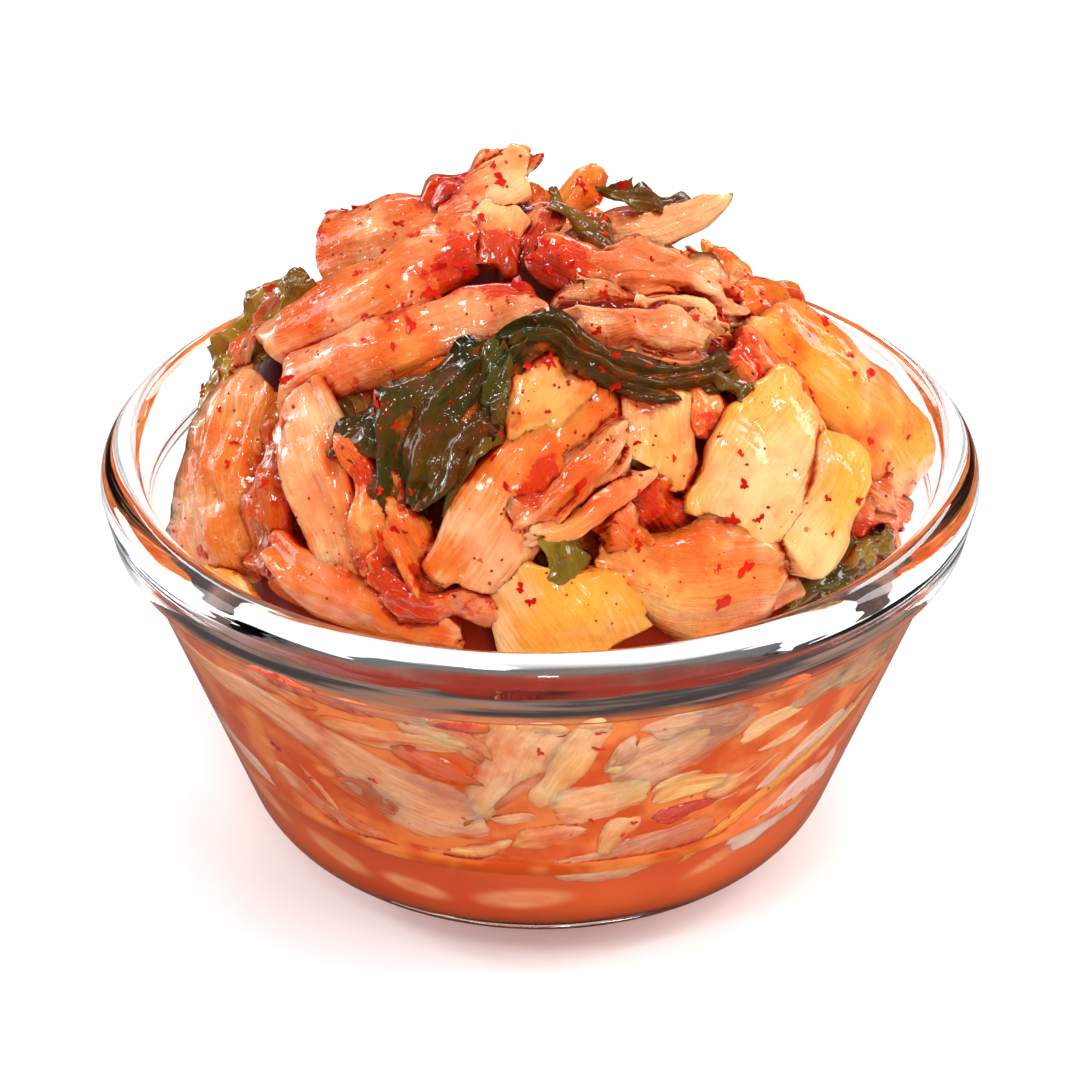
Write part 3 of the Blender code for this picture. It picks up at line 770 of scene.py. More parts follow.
GLASS_PIECES = [
    # line as bearing and height, widths, tones, sauce, ribs across; each lies over the ones before
    # Right: green and red hints, creamy masses in orange brine, long streaks, a broad milky end
    ([(38, 39), (48, 39.5), (62, 37)], (4, 8, 7), ("olive", "lime"), 0.1, 0),
    ([(62, 39), (70, 34), (80, 30)], (6, 8, 5), ("orange", "blush"), 0.3, 0),
    ([(49, 28), (56, 31), (63, 33)], (2.5, 3, 2), ("orange", "orange"), 1.0, 0),
    ([(30, 35), (34, 36.5), (40, 37)], (3.5, 4.6, 3), ("cream", "pale"), 0.0, 4),
    ([(35, 31), (39, 31.8), (43, 32.6)], (3.2, 3.6, 2.4), ("petal", "pale"), 0.0, 2),
    ([(26, 25.5), (32, 26.5), (39, 30)], (4.5, 7, 4), ("petal", "pale"), 0.05, 5),
    ([(17.5, 27.5), (23, 29), (31, 28)], (4.5, 5.5, 4), ("cream", "amber"), 0.05, 3),
    ([(18, 23.5), (25, 24), (30, 24.5)], (3.5, 4.2, 2), ("orange", "orange"), 0.7, 0),
    ([(26, 14.5), (39, 22), (50, 27), (62, 32)], (2.6, 4.4, 4, 3), ("yellow", "amber"), 0.0, 0),
    ([(38, 23.5), (45, 28), (54, 31)], (2.2, 4.4, 3), ("milk", "petal"), 0.0, 0),
    ([(36, 13.5), (46, 16), (60, 20)], (5, 11.5, 11), ("milk", "milk"), 0.0, 0),
    # Left: cream ends near the side, dim ovals, one long pale piece ending in a broad lump
    ([(-72, 22.5), (-62, 21.5), (-53, 19)], (3, 5, 4), ("milk", "pale"), 0.0, 0),
    ([(-80, 30), (-72, 33), (-64, 31)], (5, 8, 5), ("orange", "blush"), 0.3, 0),
    ([(-49, 24), (-43, 21.5), (-37, 18.5)], (4, 6, 3), ("blush", "orange"), 0.25, 0),
    ([(-67, 37.5), (-54, 36.5), (-44, 36.5), (-36, 34.5), (-29, 30), (-21, 26.5), (-13, 25), (-8, 26)],
     (2, 7, 9, 9, 12, 15, 15, 10), ("petal", "mauve"), 0.0, 0),
    ([(-38, 19), (-33, 18), (-27, 18)], (4, 5, 3), ("blush", "orange"), 0.2, 0),
    ([(-34, 27), (-28.5, 25.5), (-23, 23.5)], (5.5, 8, 5), ("orange", "orange"), 0.4, 0),
    ([(-33, 27), (-28.5, 26), (-24, 24.5)], (2.4, 4.6, 3.4), ("petal", "blush"), 0.1, 0),
    ([(-41, 26), (-38, 23.5), (-36, 20)], (1.8, 2.4, 2), ("petal", "orange"), 0.1, 0),
    # Left, above it: shards and a fibrous leaf with a red lump
    ([(-47, 41), (-39, 40.5), (-32, 39.5)], (4, 5, 3), ("amber", "orange"), 0.4, 3),
    ([(-42, 43), (-34, 43), (-28, 42.5), (-23, 41.5)], (3.5, 4.4, 3.6, 1.6), ("orange", "orange"), 0.7, 0),
    ([(-30, 42), (-22, 42.5), (-14, 42.5)], (3.5, 4, 3), ("mauve", "brown"), 0.2, 0),
    ([(-33, 38), (-25, 37.8), (-18, 38.5), (-10, 38)], (3, 6.5, 6, 3), ("pale", "orange"), 0.15, 5),
    ([(-20, 42), (-13, 40), (-7, 36)], (3.5, 5.5, 4), ("petal", "orange"), 0.2, 3),
    ([(-21, 36.5), (-15, 34), (-8, 31)], (3.6, 6.6, 2.6), ("orange", "orange"), 0.9, 2),
    ([(-16, 42.4), (-6, 42.2)], (3.4, 3.4), ("orange", "amber"), 0.6, 0),
    # Middle: pale sheet, purple sheet, pink base piece, and the yellow stem slanting over them
    ([(15, 40), (22, 40), (30, 40)], (7, 9, 8), ("mauve", "mauve"), 0.0, 0),
    ([(10, 31), (16, 34), (23, 37), (31, 41)], (9, 14, 12, 7), ("mauve", "petal"), 0.0, 0),
    ([(1, 15), (9, 15.5), (19, 17.5), (31, 19.5)], (4, 9, 10, 6), ("mauve", "blush"), 0.05, 0),
    ([(1, 27), (8, 28), (17, 30)], (9, 10, 7), ("pale", "petal"), 0.0, 0),
    ([(10, 16.5), (12, 20.5), (14.5, 25)], (2.4, 5, 6), ("pale", "amber"), 0.05, 0),
    ([(-1, 43.5), (-4, 38), (-7, 31), (-11, 25)], (12, 13, 10, 5), ("petal", "blush"), 0.0, 0),
    ([(-2, 43), (4, 42)], (3.4, 3.4), ("pale", "amber"), 0.1, 0),
    ([(1, 34.5), (-5, 29), (-13, 22.5)], (2, 2.4, 1.6), ("orange", "orange"), 0.3, 0),
    ([(-8, 25), (-3, 25.5), (1, 25)], (2.4, 3.2, 2.2), ("petal", "orange"), 0.3, 2),
    ([(-17, 17.5), (-10, 18.6), (-4, 21.5)], (2.6, 4.6, 2.6), ("cream", "orange"), 0.0, 0),
    ([(-5, 20.5), (1, 22), (7, 23)], (3.6, 5.2, 2.6), ("pale", "orange"), 0.1, 0),
    ([(7.5, 43.5), (6, 39.5), (3, 34), (0, 27.5)], (5, 5.6, 6, 5), ("pale", "amber"), 0.0, 0),
    ([(13, 39), (10.5, 34.5)], (3.2, 3.4), ("mauve", "petal"), 0.0, 0),
    ([(9.4, 33.8), (12.4, 33.8)], (2.6, 2.6), ("cream", "amber"), 0.0, 0),
    ([(5, 42.8), (9.5, 42.8)], (3.6, 3.6), ("amber", "orange"), 0.1, 0),
    ([(31, 42.5), (38, 42.8)], (4.4, 4.8), ("amber", "orange"), 0.1, 0),
    ([(22, 42.4), (30, 42)], (3.4, 3.4), ("petal", "orange"), 0.1, 0),
]
# Chilli flakes against the wall: bearing, height, size in mm
GLASS_FLAKES = [
    (0, 38, 1.1), (8, 38.2, 1.2), (3, 41.2, 0.9), (8, 41.4, 1.1), (8, 25, 0.8), (15, 23.5, 0.9),
    (13.5, 21.5, 0.7), (-45, 28, 1.6), (-26, 29, 1.2), (-39, 25, 0.8), (-31, 17, 0.6), (47, 43, 1.5),
    (56, 31, 1.2), (-12, 25, 0.5), (-35, 44, 0.7), (24, 26.5, 0.4), (33, 20, 0.6), (-24, 24, 0.6),
]


def lay_in_glass():
    """Pieces seen through the wall, pressed flat against it."""
    def wall_piece(kind, shape, number, line, widths, tones, sauce, ribs):
        spine = [(radians(bearing) * WALL_ARC, z, -0.8) for bearing, z in line]
        lay(kind, shape, spine, widths, 3, tones, sauce=sauce, at_glass=PIECE_REACH + number * REACH_STEP,
            ribs=(0.3, ribs) if ribs else (0, 1), curl=4, wobble=(0.3, 5), crumple=(0.1, 4),
            ruffle=(0.1, 1.2), fibre=0.06, ragged=0.6, ends=(2.5, 2.5), edge=0.62, roundness=0.6)

    for number, piece in enumerate(GLASS_PIECES):
        wall_piece("cabbage_in_glass", "mid", number, *piece)
    pairs = [("pale", "blush"), ("cream", "amber"), ("orange", "amber"), ("petal", "orange"),
             ("mauve", "blush"), ("yellow", "orange"), ("milk", "pale")]
    for i in range(BEHIND_GLASS_COUNT):
        bearing = 78 + i * 4.7 + random.uniform(-3, 3)
        z = (36, 22, 30, 16, 33)[i % 5] + random.uniform(-3, 3)
        beside = max(0, 1 - abs(abs((bearing + 180) % 360 - 180) - SIDE_BEARING) / 34)
        z *= 1 - 0.3 * beside
        swing, climb = random.uniform(6, 12), random.uniform(-8, 8)
        line = [(bearing - swing, z - climb), (bearing, z), (bearing + swing, z + climb)]
        wall_piece("cabbage_behind_glass", "scrap", i % 40, line, (4, random.uniform(6, 13), 4), pairs[i % 7],
                   random.uniform(0.0, 0.4), i % 4)


def lay_flanks():
    """Pieces that close the gaps on both flanks, given by bearing, reach from the middle and height."""
    gaps = [
        ([(84, 19, 75), (96, 25, 71.5), (104, 31, 66.5)], ("amber", "orange")),
        ([(78, 23, 73), (86, 29, 69), (93, 35, 62.5)], ("pale", "blush")),
        ([(112, 27, 69.5), (107, 31, 66.5), (98, 37, 60)], ("blush", "orange")),
        ([(119, 30, 67.5), (128, 31.5, 67), (138, 31.5, 66)], ("yellow", "amber")),
        ([(257, 19, 75.5), (262, 24, 73), (268, 30, 70.5)], ("pale", "blush")),
        ([(274, 29, 71), (269, 33, 67.5), (262, 37, 62)], ("amber", "orange")),
    ]
    for line, tones in gaps:
        spine = [(reach * sin(radians(bearing)), -reach * cos(radians(bearing)), z)
                 for bearing, reach, z in line]
        lay("cabbage_back", "scrap", spine, (7, 11, 7), 2.4, tones, heart=BACK_HEART, sauce=0.35, curl=50)


lay_front()
lay_filling()
lay_in_glass()
lay_flanks()
for blank in BLANKS.values():
    bpy.data.objects.remove(blank, do_unlink=True)
KINDS = {kind: join(pieces, kind) for kind, pieces in KIND_PIECES.items()}


# ---------------------------------------------------------------- filling under the pieces

def make_core():
    """Packed middle of the heap: it fills the glass above the brine and stays under the pieces.

    In front a thin dark band of painted shade climbs the glass behind the rim band.
    """
    top = SHOULDER_Z + BACK_RISE - 5 * MM
    low = BRINE_LEVEL - 3 * MM
    outline = [(0.0, low)] + straight((0, low), (inside_radius(low), low), 8)
    for i in range(31):
        z = low + (FILL_TOP - low) * i / 30
        outline.append((inside_radius(z) + FILL_REACH, z))
    for i in range(1, 26):
        turn = radians(90 * i / 25)
        outline.append((CORE_SHOULDER * cos(turn) ** 0.8,
                        FILL_TOP - 1 * MM + (top - FILL_TOP + 1 * MM) * sin(turn)))
    outline[-1] = (0.0, top)

    # At the glass: the painted shade band climbs in front, and the filling stands lower at both sides
    core = turned("packed_core", outline)
    mesh = core.data
    points = positions(mesh)
    radius = np.hypot(points[:, 0], points[:, 1])
    wall = np.array([inside_radius(min(z, FILL_TOP)) for z in points[:, 2]])
    at_glass = ((points[:, 2] < FILL_TOP + 0.5 * MM) & (points[:, 2] > low + 0.1 * MM)
                & (radius > wall - 1 * MM))
    frontness = np.clip(-points[:, 1] / np.maximum(radius, 1e-6), 0, 1)
    climb = eased(ramp(frontness, 0.3, 0.4)) * PAINTED_SHADE_CLIMB * (0.85 + 0.15 * cloud(points, 6 * MM, 21))
    near_top = ramp(points[:, 2], low, FILL_TOP - low)
    side = np.abs(np.degrees(np.arctan2(points[:, 0], -points[:, 1])))
    sunken = SIDE_SINK * np.exp(-((side - SIDE_BEARING) / 20) ** 2)
    raised = points[:, 2] + (climb - sunken) * near_top ** 2
    outer = np.array([inside_radius(min(z, MOUTH_Z)) for z in raised]) + FILL_REACH
    for axis in (0, 1):
        at_wall = points[:, axis] * outer / np.maximum(radius, 1e-6)
        points[:, axis] = np.where(at_glass, at_wall, points[:, axis])
    points[:, 2] = np.where(at_glass, raised, points[:, 2])

    # Above it: lumps, the ridge behind the front pieces, and a shoulder narrower at both sides
    lumps = 1.6 * MM * creases(points, 7 * MM, 3) + 0.8 * MM * cloud(points, 3 * MM, 4)
    free = ~at_glass & (points[:, 2] > FILL_TOP - 2 * MM)
    points += unit(points - np.array([0, 0, 0.04])) * np.where(free, lumps, 0)[:, None]
    behind = np.clip((8 * MM - points[:, 1]) / (16 * MM), 0, 1)
    leftness = 1 - 0.65 * ramp(points[:, 0], 8 * MM, 17 * MM)
    ridge = 1 + RIDGE * eased(behind) * leftness
    points[:, 2] = np.where(free, FILL_TOP + (points[:, 2] - FILL_TOP) * ridge, points[:, 2])
    radius = np.hypot(points[:, 0], points[:, 1])
    shoulder_share = np.clip((SHOULDER_Z + 9 * MM - points[:, 2]) / (8 * MM), 0, 1)
    wider = 1 + np.where(at_glass, 0, 0.1 * frontness * shoulder_share)
    wider -= np.where(at_glass, 0, 0.16 * np.exp(-((side - SIDE_BEARING) / 24) ** 2) * shoulder_share)
    points[:, :2] *= wider[:, None]
    move_to(mesh, points)
    paint(mesh, "open", np.where(at_glass | (points[:, 2] < FILL_TOP - 2 * MM), 0, 1))
    # rear runs from the front, kept dark red as sauce and as painted shade in the gaps, to the lighter
    # chopped cabbage at the rear
    paint(mesh, "rear", ramp(points[:, 1], -10 * MM, 8 * MM))
    # Painted shade: the dark band where the filling climbs the glass in front, kept as film for the material
    painted_shade_share = np.clip((points[:, 2] - FILL_TOP + 0.6 * MM) / (1.2 * MM), 0, 1)
    paint(mesh, "film", np.where(at_glass, painted_shade_share, 0))
    return core


def make_brine():
    """The liquid, reaching into the glass, with pale cabbage dimly seen in it."""
    floor = BASE_THICKNESS - FILL_REACH
    level = BRINE_LEVEL - 1 * MM
    outline = [(0.0, floor)]
    outline += straight((0, floor), (inside_radius(BASE_THICKNESS), floor), 6)
    for i in range(29):
        z = BASE_THICKNESS + (level - BASE_THICKNESS) * (i / 28) ** 1.5
        outline.append((inside_radius(z) + FILL_REACH, max(z, floor)))
    outline += straight((inside_radius(level), level), (0, level), 8) + [(0.0, level)]
    brine = turned("spiced_brine", outline, 256)
    points = positions(brine.data)
    bearing = np.degrees(np.arctan2(points[:, 0], -points[:, 1]))
    radius = np.hypot(points[:, 0], points[:, 1])
    around = radius * np.radians(bearing)
    # Sunk pieces: bearing, height, half length and half height in mm, tilt in degrees
    sunk = [(-41, 10.5, 4.5, 2.0, 25), (-24, 9.2, 4, 1.7, 12), (-3, 9.6, 5.5, 2.2, -8),
            (-14, 17.2, 4, 1.4, -10), (-60, 14, 5, 2, 35), (35, 12, 5, 1.2, -30)]
    sunk += [(70 + 19 * i, 8.5 + (i * 5) % 7, 4.5, 1.8, (i * 37) % 60 - 30) for i in range(12)]
    pale = np.zeros(len(points))
    for at, z, half_long, half_high, tilt in sunk:
        flat = (bearing - at + 180) % 360 - 180
        x = np.radians(flat) * np.maximum(radius, 20 * MM) / MM
        y = (points[:, 2] / MM - z) * 1.25
        turn = radians(tilt)
        long_way = x * cos(turn) - y * sin(turn)
        high_way = x * sin(turn) + y * cos(turn)
        reach = np.sqrt((long_way / half_long) ** 2 + (high_way / half_high) ** 2)
        pale = np.maximum(pale, np.clip((1.25 - reach) / 0.6, 0, 1) * np.where(reach < 0.55, 0.75, 1))
    soft = 0.8 + 0.2 * cloud(points, 2.5 * MM, 6)
    paint(brine.data, "pale", pale * soft)
    paint(brine.data, "murk", 0.5 + 0.5 * cloud(points, 9 * MM, 12))
    return brine


bowl = make_bowl()
core = make_core()
brine = make_brine()


# ---------------------------------------------------------------- sauce and painted shade in the creases

def surface_tree(pieces):
    """One searchable surface of several pieces."""
    corners, faces = [], []
    for piece in pieces:
        start = len(corners)
        corners += [v.co for v in piece.data.vertices]
        faces += [[start + i for i in face.vertices] for face in piece.data.polygons]
    return BVHTree.FromPolygons(corners, faces)


def crease_depth(piece, tree, reach=5 * MM):
    """How closed-in each point is: 0 in the open to 1 where other surfaces lie round it."""
    points = positions(piece.data)
    normals = read_vectors(piece.data.vertex_normals, "vector")
    closed = np.zeros(len(points))
    for turn in range(3):
        spin = np.arange(len(points)) * 2.4 + turn * 2.1
        lean = np.stack([np.cos(spin), np.sin(spin), np.full(len(points), 0.2)], 1)
        aims = unit(normals + 0.75 * lean)
        starts = points + normals * 0.25 * MM
        for i, (start, aim) in enumerate(zip(starts.tolist(), aims.tolist())):
            gap = tree.ray_cast(start, aim, reach)[3]
            if gap is not None:
                closed[i] += (1 - gap / reach) / 3
    return closed


def splashed(points):
    """Extra sauce near the splashes."""
    amount = np.zeros(len(points))
    for middle, reach, load in SPLASHES:
        gap = np.linalg.norm(points - np.array(middle) * MM, axis=1) / (reach * MM)
        amount += load * np.exp(-gap ** 2)
    return amount


# Where sauce lies thick: middle in mm, reach in mm, amount
SPLASHES = [
    ((-17, -19, 81), 4, 0.5), ((-9, -18, 84.5), 4.5, 0.8), ((-3, -18, 85), 5, 0.9), ((3, -19, 84), 4, 0.7),
    ((-26, -18, 75), 3, 0.4), ((-13, -3, 86), 4, 0.6), ((-10, -7, 88), 2.5, 0.7), ((0, -12, 88), 3, 0.5),
    ((-1, -41, 67), 2.5, 0.7), ((1, -39.5, 70.5), 2.2, 0.7), ((5, -40, 69), 2, 0.4),
    ((-19, -36, 67.5), 3, 0.7), ((-17, -42, 58), 3, 0.8), ((-14, -43.5, 54.5), 3, 1.0),
    ((-21, -38, 58), 2.5, 0.5), ((-27, -34, 57), 3, 0.4), ((-31, -25, 62), 4, 0.4),
    ((-29, -11, 75), 3, 0.5), ((-36, -12, 66), 3.5, 0.5), ((-27, -4, 82), 3, 0.7),
    ((11, -39, 65), 3, 0.4), ((14, -39.5, 62), 3, 0.5), ((20, -30, 70), 3.5, 0.7), ((22, -22, 75), 3, 0.6),
    ((30, -17, 74), 3, 0.4), ((38, -17, 62), 3, 0.3), ((36, -29, 54), 4, 0.5), ((25, -37, 57), 3, 0.3),
    ((8, -7, 88), 3, 0.4), ((22, -14, 79), 3, 0.5), ((-20, -27, 71), 3, 0.5),
]
FOOD = list(KINDS.values())
FOOD_TREE = surface_tree(FOOD + [core])
for piece in FOOD:
    closed = crease_depth(piece, FOOD_TREE)
    layer = piece.data.attributes["sauce"]
    amount = np.empty(len(piece.data.vertices), np.float32)
    layer.data.foreach_get("value", amount)
    thick = splashed(positions(piece.data))
    # Crease depth adds red sauce: partly sauce pooling there, partly painted shade; it is also kept as closed
    # for the painted crevice shade
    paint(piece.data, "sauce", np.clip(amount + 1.1 * closed + thick, 0, MOST_SAUCE))
    paint(piece.data, "closed", closed)


# ---------------------------------------------------------------- chilli flakes and specks

def stamp(name, shapes, places):
    """Joins copies of small shapes, each (shape number, place, three scaled axes)."""
    corners, faces, count = [], [], 0
    for which, place, axes in places:
        points, sides = shapes[which]
        corners.append(points @ axes + place)
        faces += [[count + i for i in side] for side in sides]
        count += len(points)
    return new_piece(name, np.vstack(corners).tolist(), [], faces)


def taken_faces(shape):
    """A shape's faces as corner numbers; the shape itself goes."""
    faces = [list(face.vertices) for face in shape.data.polygons]
    bpy.data.objects.remove(shape, do_unlink=True)
    return faces


def flake_shapes():
    """Torn shards of chilli skin, thin and slightly cupped, each with a few dozen faces."""
    shapes = []
    for seed in range(FLAKE_SHAPES):
        clear_selection()
        bpy.ops.mesh.primitive_cylinder_add(vertices=9, radius=1, depth=0.16)
        flake = bpy.context.object
        bpy.ops.object.mode_set(mode="EDIT")
        bpy.ops.mesh.select_all(action="SELECT")
        bpy.ops.mesh.poke()
        bpy.ops.object.mode_set(mode="OBJECT")
        points = positions(flake.data)
        turn = np.arctan2(points[:, 1], points[:, 0])
        stretch = 1 + 0.42 * np.sin(turn * 2 + seed) + 0.3 * np.sin(turn * 3 + seed * 2.3)
        points[:, :2] *= (0.8 * stretch + 0.25 * np.sin(turn * 5 + seed * 1.7))[:, None]
        points[:, 2] += 0.12 * points[:, 0] ** 2 - 0.1 * points[:, 1] ** 2
        shapes.append((points, taken_faces(flake)))
    return shapes


def surface_frame(normal, spin):
    """Three axes with the third along a surface's normal."""
    normal = normal.normalized()
    side = normal.orthogonal().normalized()
    other = normal.cross(side)
    first = side * cos(spin) + other * sin(spin)
    return np.array([first, normal.cross(first), normal])


def scatter(rng, amount):
    return Vector((rng.gauss(0, amount), rng.gauss(0, amount), rng.gauss(0, amount)))


def strewn(count, seed):
    """Places on the heap's visible skin, found by looking in from outside, and the draws' source."""
    rng = random.Random(seed)
    found = []
    while len(found) < count:
        front = rng.random() < 0.62
        bearing = rng.gauss(0, 48) if front else rng.uniform(60, 300)
        share = rng.random()
        start = Vector(on_heap(bearing, share, 30)) * MM
        toward = Vector((0, 6, 45 + 12 * share)) * MM - start
        toward = toward.normalized() + scatter(rng, 0.15)
        place, normal, _, _ = FOOD_TREE.ray_cast(start, toward.normalized())
        if place is None or place.z < SHOULDER_Z - 2 * MM:
            continue
        if place.z < BOWL_HEIGHT + 1 * MM and place.y < -36 * MM:
            continue
        if normal.dot(toward) > 0:
            normal = -normal
        crowd = 0.45 + 0.55 * cloud(np.array([place]), 6 * MM, seed)[0]
        draw = rng.random()
        if crowd >= 0 and draw > crowd ** 1.5 * 1.2:
            continue
        found.append((place, normal))
    return found, rng


def make_flakes():
    shapes = flake_shapes()
    places = []
    found, rng = strewn(FLAKE_COUNT, 5)
    for place, normal in found:
        lean = scatter(rng, 0.18)
        axes = surface_frame(normal + lean, rng.uniform(0, 2 * pi))
        big = rng.random() < 0.2
        size = (rng.uniform(0.75, 1.15) if big else rng.uniform(0.3, 0.7)) * MM
        scale = np.array([size * rng.uniform(0.7, 1.25), size, size * 0.9])
        places.append((rng.randrange(FLAKE_SHAPES), np.array(place) + np.array(normal) * 0.05 * MM,
                       axes * scale[:, None]))
    rng = random.Random(9)
    behind = [(80 + 9.5 * i, rng.uniform(18, 42), rng.uniform(0.6, 1.4)) for i in range(22)]
    for bearing, z, size in GLASS_FLAKES + behind:
        out = Vector((sin(radians(bearing)), -cos(radians(bearing)), -tan(WALL_TAPER))).normalized()
        place = Vector((out.x, out.y, 0)).normalized() * (inside_radius(z * MM) + 0.95 * MM)
        axes = surface_frame(out, rng.uniform(0, 2 * pi))
        scale = np.array([0.6 * size, 0.45 * size, 0.25 * size]) * MM
        places.append((rng.randrange(FLAKE_SHAPES), np.array([place.x, place.y, z * MM]),
                       axes * scale[:, None]))
    return stamp("chilli_flakes", shapes, places)


def make_specks():
    clear_selection()
    bpy.ops.mesh.primitive_ico_sphere_add(subdivisions=1, radius=1)
    drop = bpy.context.object
    shape = (positions(drop.data), taken_faces(drop))
    places = []
    found, rng = strewn(SPECK_COUNT, 6)
    for place, normal in found:
        axes = surface_frame(normal, rng.uniform(0, 2 * pi))
        size = rng.uniform(0.09, 0.24) * MM
        scale = np.array([size * rng.uniform(0.8, 1.5), size, size * 0.5])
        places.append((0, np.array(place), axes * scale[:, None]))
    specks = stamp("chilli_specks", [shape], places)
    bpy.ops.object.shade_smooth()
    return specks


flakes = make_flakes()
specks = make_specks()


# ---------------------------------------------------------------- fine relief

for piece in FOOD:
    relief(piece, 2.6 * MM, 0.30 * MM)
    relief(piece, 0.9 * MM, 0.10 * MM)
relief(core, 2.5 * MM, 0.25 * MM)


# ---------------------------------------------------------------- materials

class Nodes:
    """Short ways to build a shader tree; inputs are values or the outputs of other nodes."""

    def __init__(self, tree):
        self.tree = tree

    def fill(self, node, inputs):
        for key, value in inputs.items():
            if isinstance(value, bpy.types.NodeSocket):
                self.tree.links.new(value, node.inputs[key])
            else:
                node.inputs[key].default_value = value

    def add(self, kind, inputs, **settings):
        node = self.tree.nodes.new("ShaderNode" + kind)
        for key, value in settings.items():
            setattr(node, key, value)
        self.fill(node, inputs)
        return node.outputs

    def group(self, group, inputs):
        return self.add("Group", inputs, node_tree=group)

    def place(self):
        return self.add("TexCoord", {})["Object"]

    def attribute(self, name, output="Fac"):
        return self.add("Attribute", {}, attribute_name=name)[output]

    def stretched(self, vector, scale, rotation=(0, 0, 0)):
        return self.add("Mapping", {"Vector": vector, "Scale": scale, "Rotation": rotation})[0]

    def noise(self, vector, scale, detail, roughness=0.5, distortion=0.0):
        return self.add("TexNoise", {"Vector": vector, "Scale": scale, "Detail": detail,
                        "Roughness": roughness, "Distortion": distortion})[0]

    def bump(self, height, strength, distance=0.8 * MM):
        return self.add("Bump", {"Height": height, "Strength": strength, "Distance": distance})[0]

    def calc(self, operation, first, second, clamp=False):
        return self.add("Math", {0: first, 1: second}, operation=operation, use_clamp=clamp)[0]

    def times(self, first, second):
        return self.calc("MULTIPLY", first, second)

    def plus(self, first, second):
        return self.calc("ADD", first, second)

    def minus(self, first, second, clamp=False):
        return self.calc("SUBTRACT", first, second, clamp)

    def ranged(self, value, low, high, to_low=0.0, to_high=1.0):
        return self.add("MapRange", {"Value": value, "From Min": low, "From Max": high,
                        "To Min": to_low, "To Max": to_high}, interpolation_type="SMOOTHSTEP")[0]

    def mixed(self, share, first, second, blend="MIX"):
        return self.add("Mix", {0: share, 6: first, 7: second}, data_type="RGBA", blend_type=blend)[2]

    def mirrored_ray(self):
        """1 for mirrored rays, 0 for rays that went through glass."""
        ray = self.add("LightPath", {})
        return self.minus(ray["Is Glossy Ray"], ray["Is Transmission Ray"], clamp=True)

    def surface(self, share, first, second):
        """Shows the first shader, and the second by its share."""
        blend = self.add("MixShader", {0: share, 1: first, 2: second})[0]
        self.fill(self.tree.nodes["Material Output"], {"Surface": blend})


def new_group(name, inputs, outputs):
    group = bpy.data.node_groups.new(name, "ShaderNodeTree")
    for label, kind, value in inputs:
        socket = group.interface.new_socket(label, in_out="INPUT", socket_type="NodeSocket" + kind)
        socket.default_value = value
    for label, kind in outputs:
        group.interface.new_socket(label, in_out="OUTPUT", socket_type="NodeSocket" + kind)
    return Nodes(group), group.nodes.new("NodeGroupInput").outputs, group.nodes.new("NodeGroupOutput")


def sauced_flesh_group():
    """Cabbage colour with orange stain and red sauce lying in it by the sauce amount, and painted shade in
    its crevices.
    """
    t, given, made = new_group(
        "sauced_flesh",
        [("Flesh", "Color", (1, 1, 1, 1)), ("Sauce", "Float", 0.0), ("Fibre", "Float", 0.5),
         ("Closed", "Float", 0.0), ("Pale", "Float", 1.0)],
        [("Colour", "Color"), ("Film", "Float")])
    place = t.place()
    fine = t.noise(place, 1100, 3, 0.65)
    uneven = t.plus(t.times(t.noise(place, 260, 4, 0.6), 1.5), t.times(fine, 0.5))
    load = t.plus(given["Sauce"], t.minus(uneven, 1.0))
    red = t.ranged(load, 0.68, 0.86)

    # Flesh with watery patches, shaded by its threads
    threads = t.times(t.minus(given["Fibre"], 0.5), 0.24)
    watery = t.ranged(t.plus(t.noise(place, 75, 3, 0.6), threads), 0.44, 0.62, 0.0, 0.5)
    flesh = t.mixed(t.times(watery, given["Pale"]), given["Flesh"], WATERY)
    shade = t.plus(t.plus(t.times(given["Fibre"], 0.22), 0.66), t.times(fine, 0.36))
    tint = t.add("CombineColor", {0: shade, 1: shade, 2: shade})[0]
    colour = t.mixed(1.0, flesh, tint, "MULTIPLY")

    # Soaked stain, thin sauce, red sauce and thick dark sauce
    broad = t.ranged(t.noise(place, 130, 4, 0.6), 0.4, 0.6, 0.0, 0.72)
    soaked = t.times(t.ranged(given["Sauce"], 0.0, 0.4, 0.12, 1.0), broad)
    for share, tone in ((soaked, STAIN), (t.times(t.ranged(load, 0.0, 0.7), 0.5), STAIN),
                        (t.times(red, 0.82), SAUCE),
                        (t.times(t.ranged(load, 1.05, 1.5), 0.6), DEEP_SAUCE)):
        colour = t.mixed(share, colour, tone)

    # Scattered red dots, and painted shade: the colour darkened where crevices close in
    jitter = t.add("TexNoise", {"Vector": place, "Scale": 1500.0, "Detail": 1.0})[1]
    jitter = t.add("VectorMath", {0: jitter, 3: 0.0009}, operation="SCALE")[0]
    shaken = t.add("VectorMath", {0: place, 1: jitter}, operation="ADD")[0]
    dots = t.add("TexVoronoi", {"Vector": shaken, "Scale": 480.0})
    chance = t.add("SeparateColor", {0: dots["Color"]})[0]
    dot = t.ranged(t.minus(t.ranged(chance, 0.86, 1.0, 0.0, 0.24), dots["Distance"]), 0.0, 0.06)
    colour = t.mixed(t.times(dot, 0.75), colour, SAUCE)
    painted_crevice_share = t.ranged(given["Closed"], 0.05, 0.7, 0.0, 0.95)
    t.fill(made, {"Colour": t.mixed(painted_crevice_share, colour, PAINTED_CREVICE_SHADE, "MULTIPLY"), "Film": red})
    return t.tree


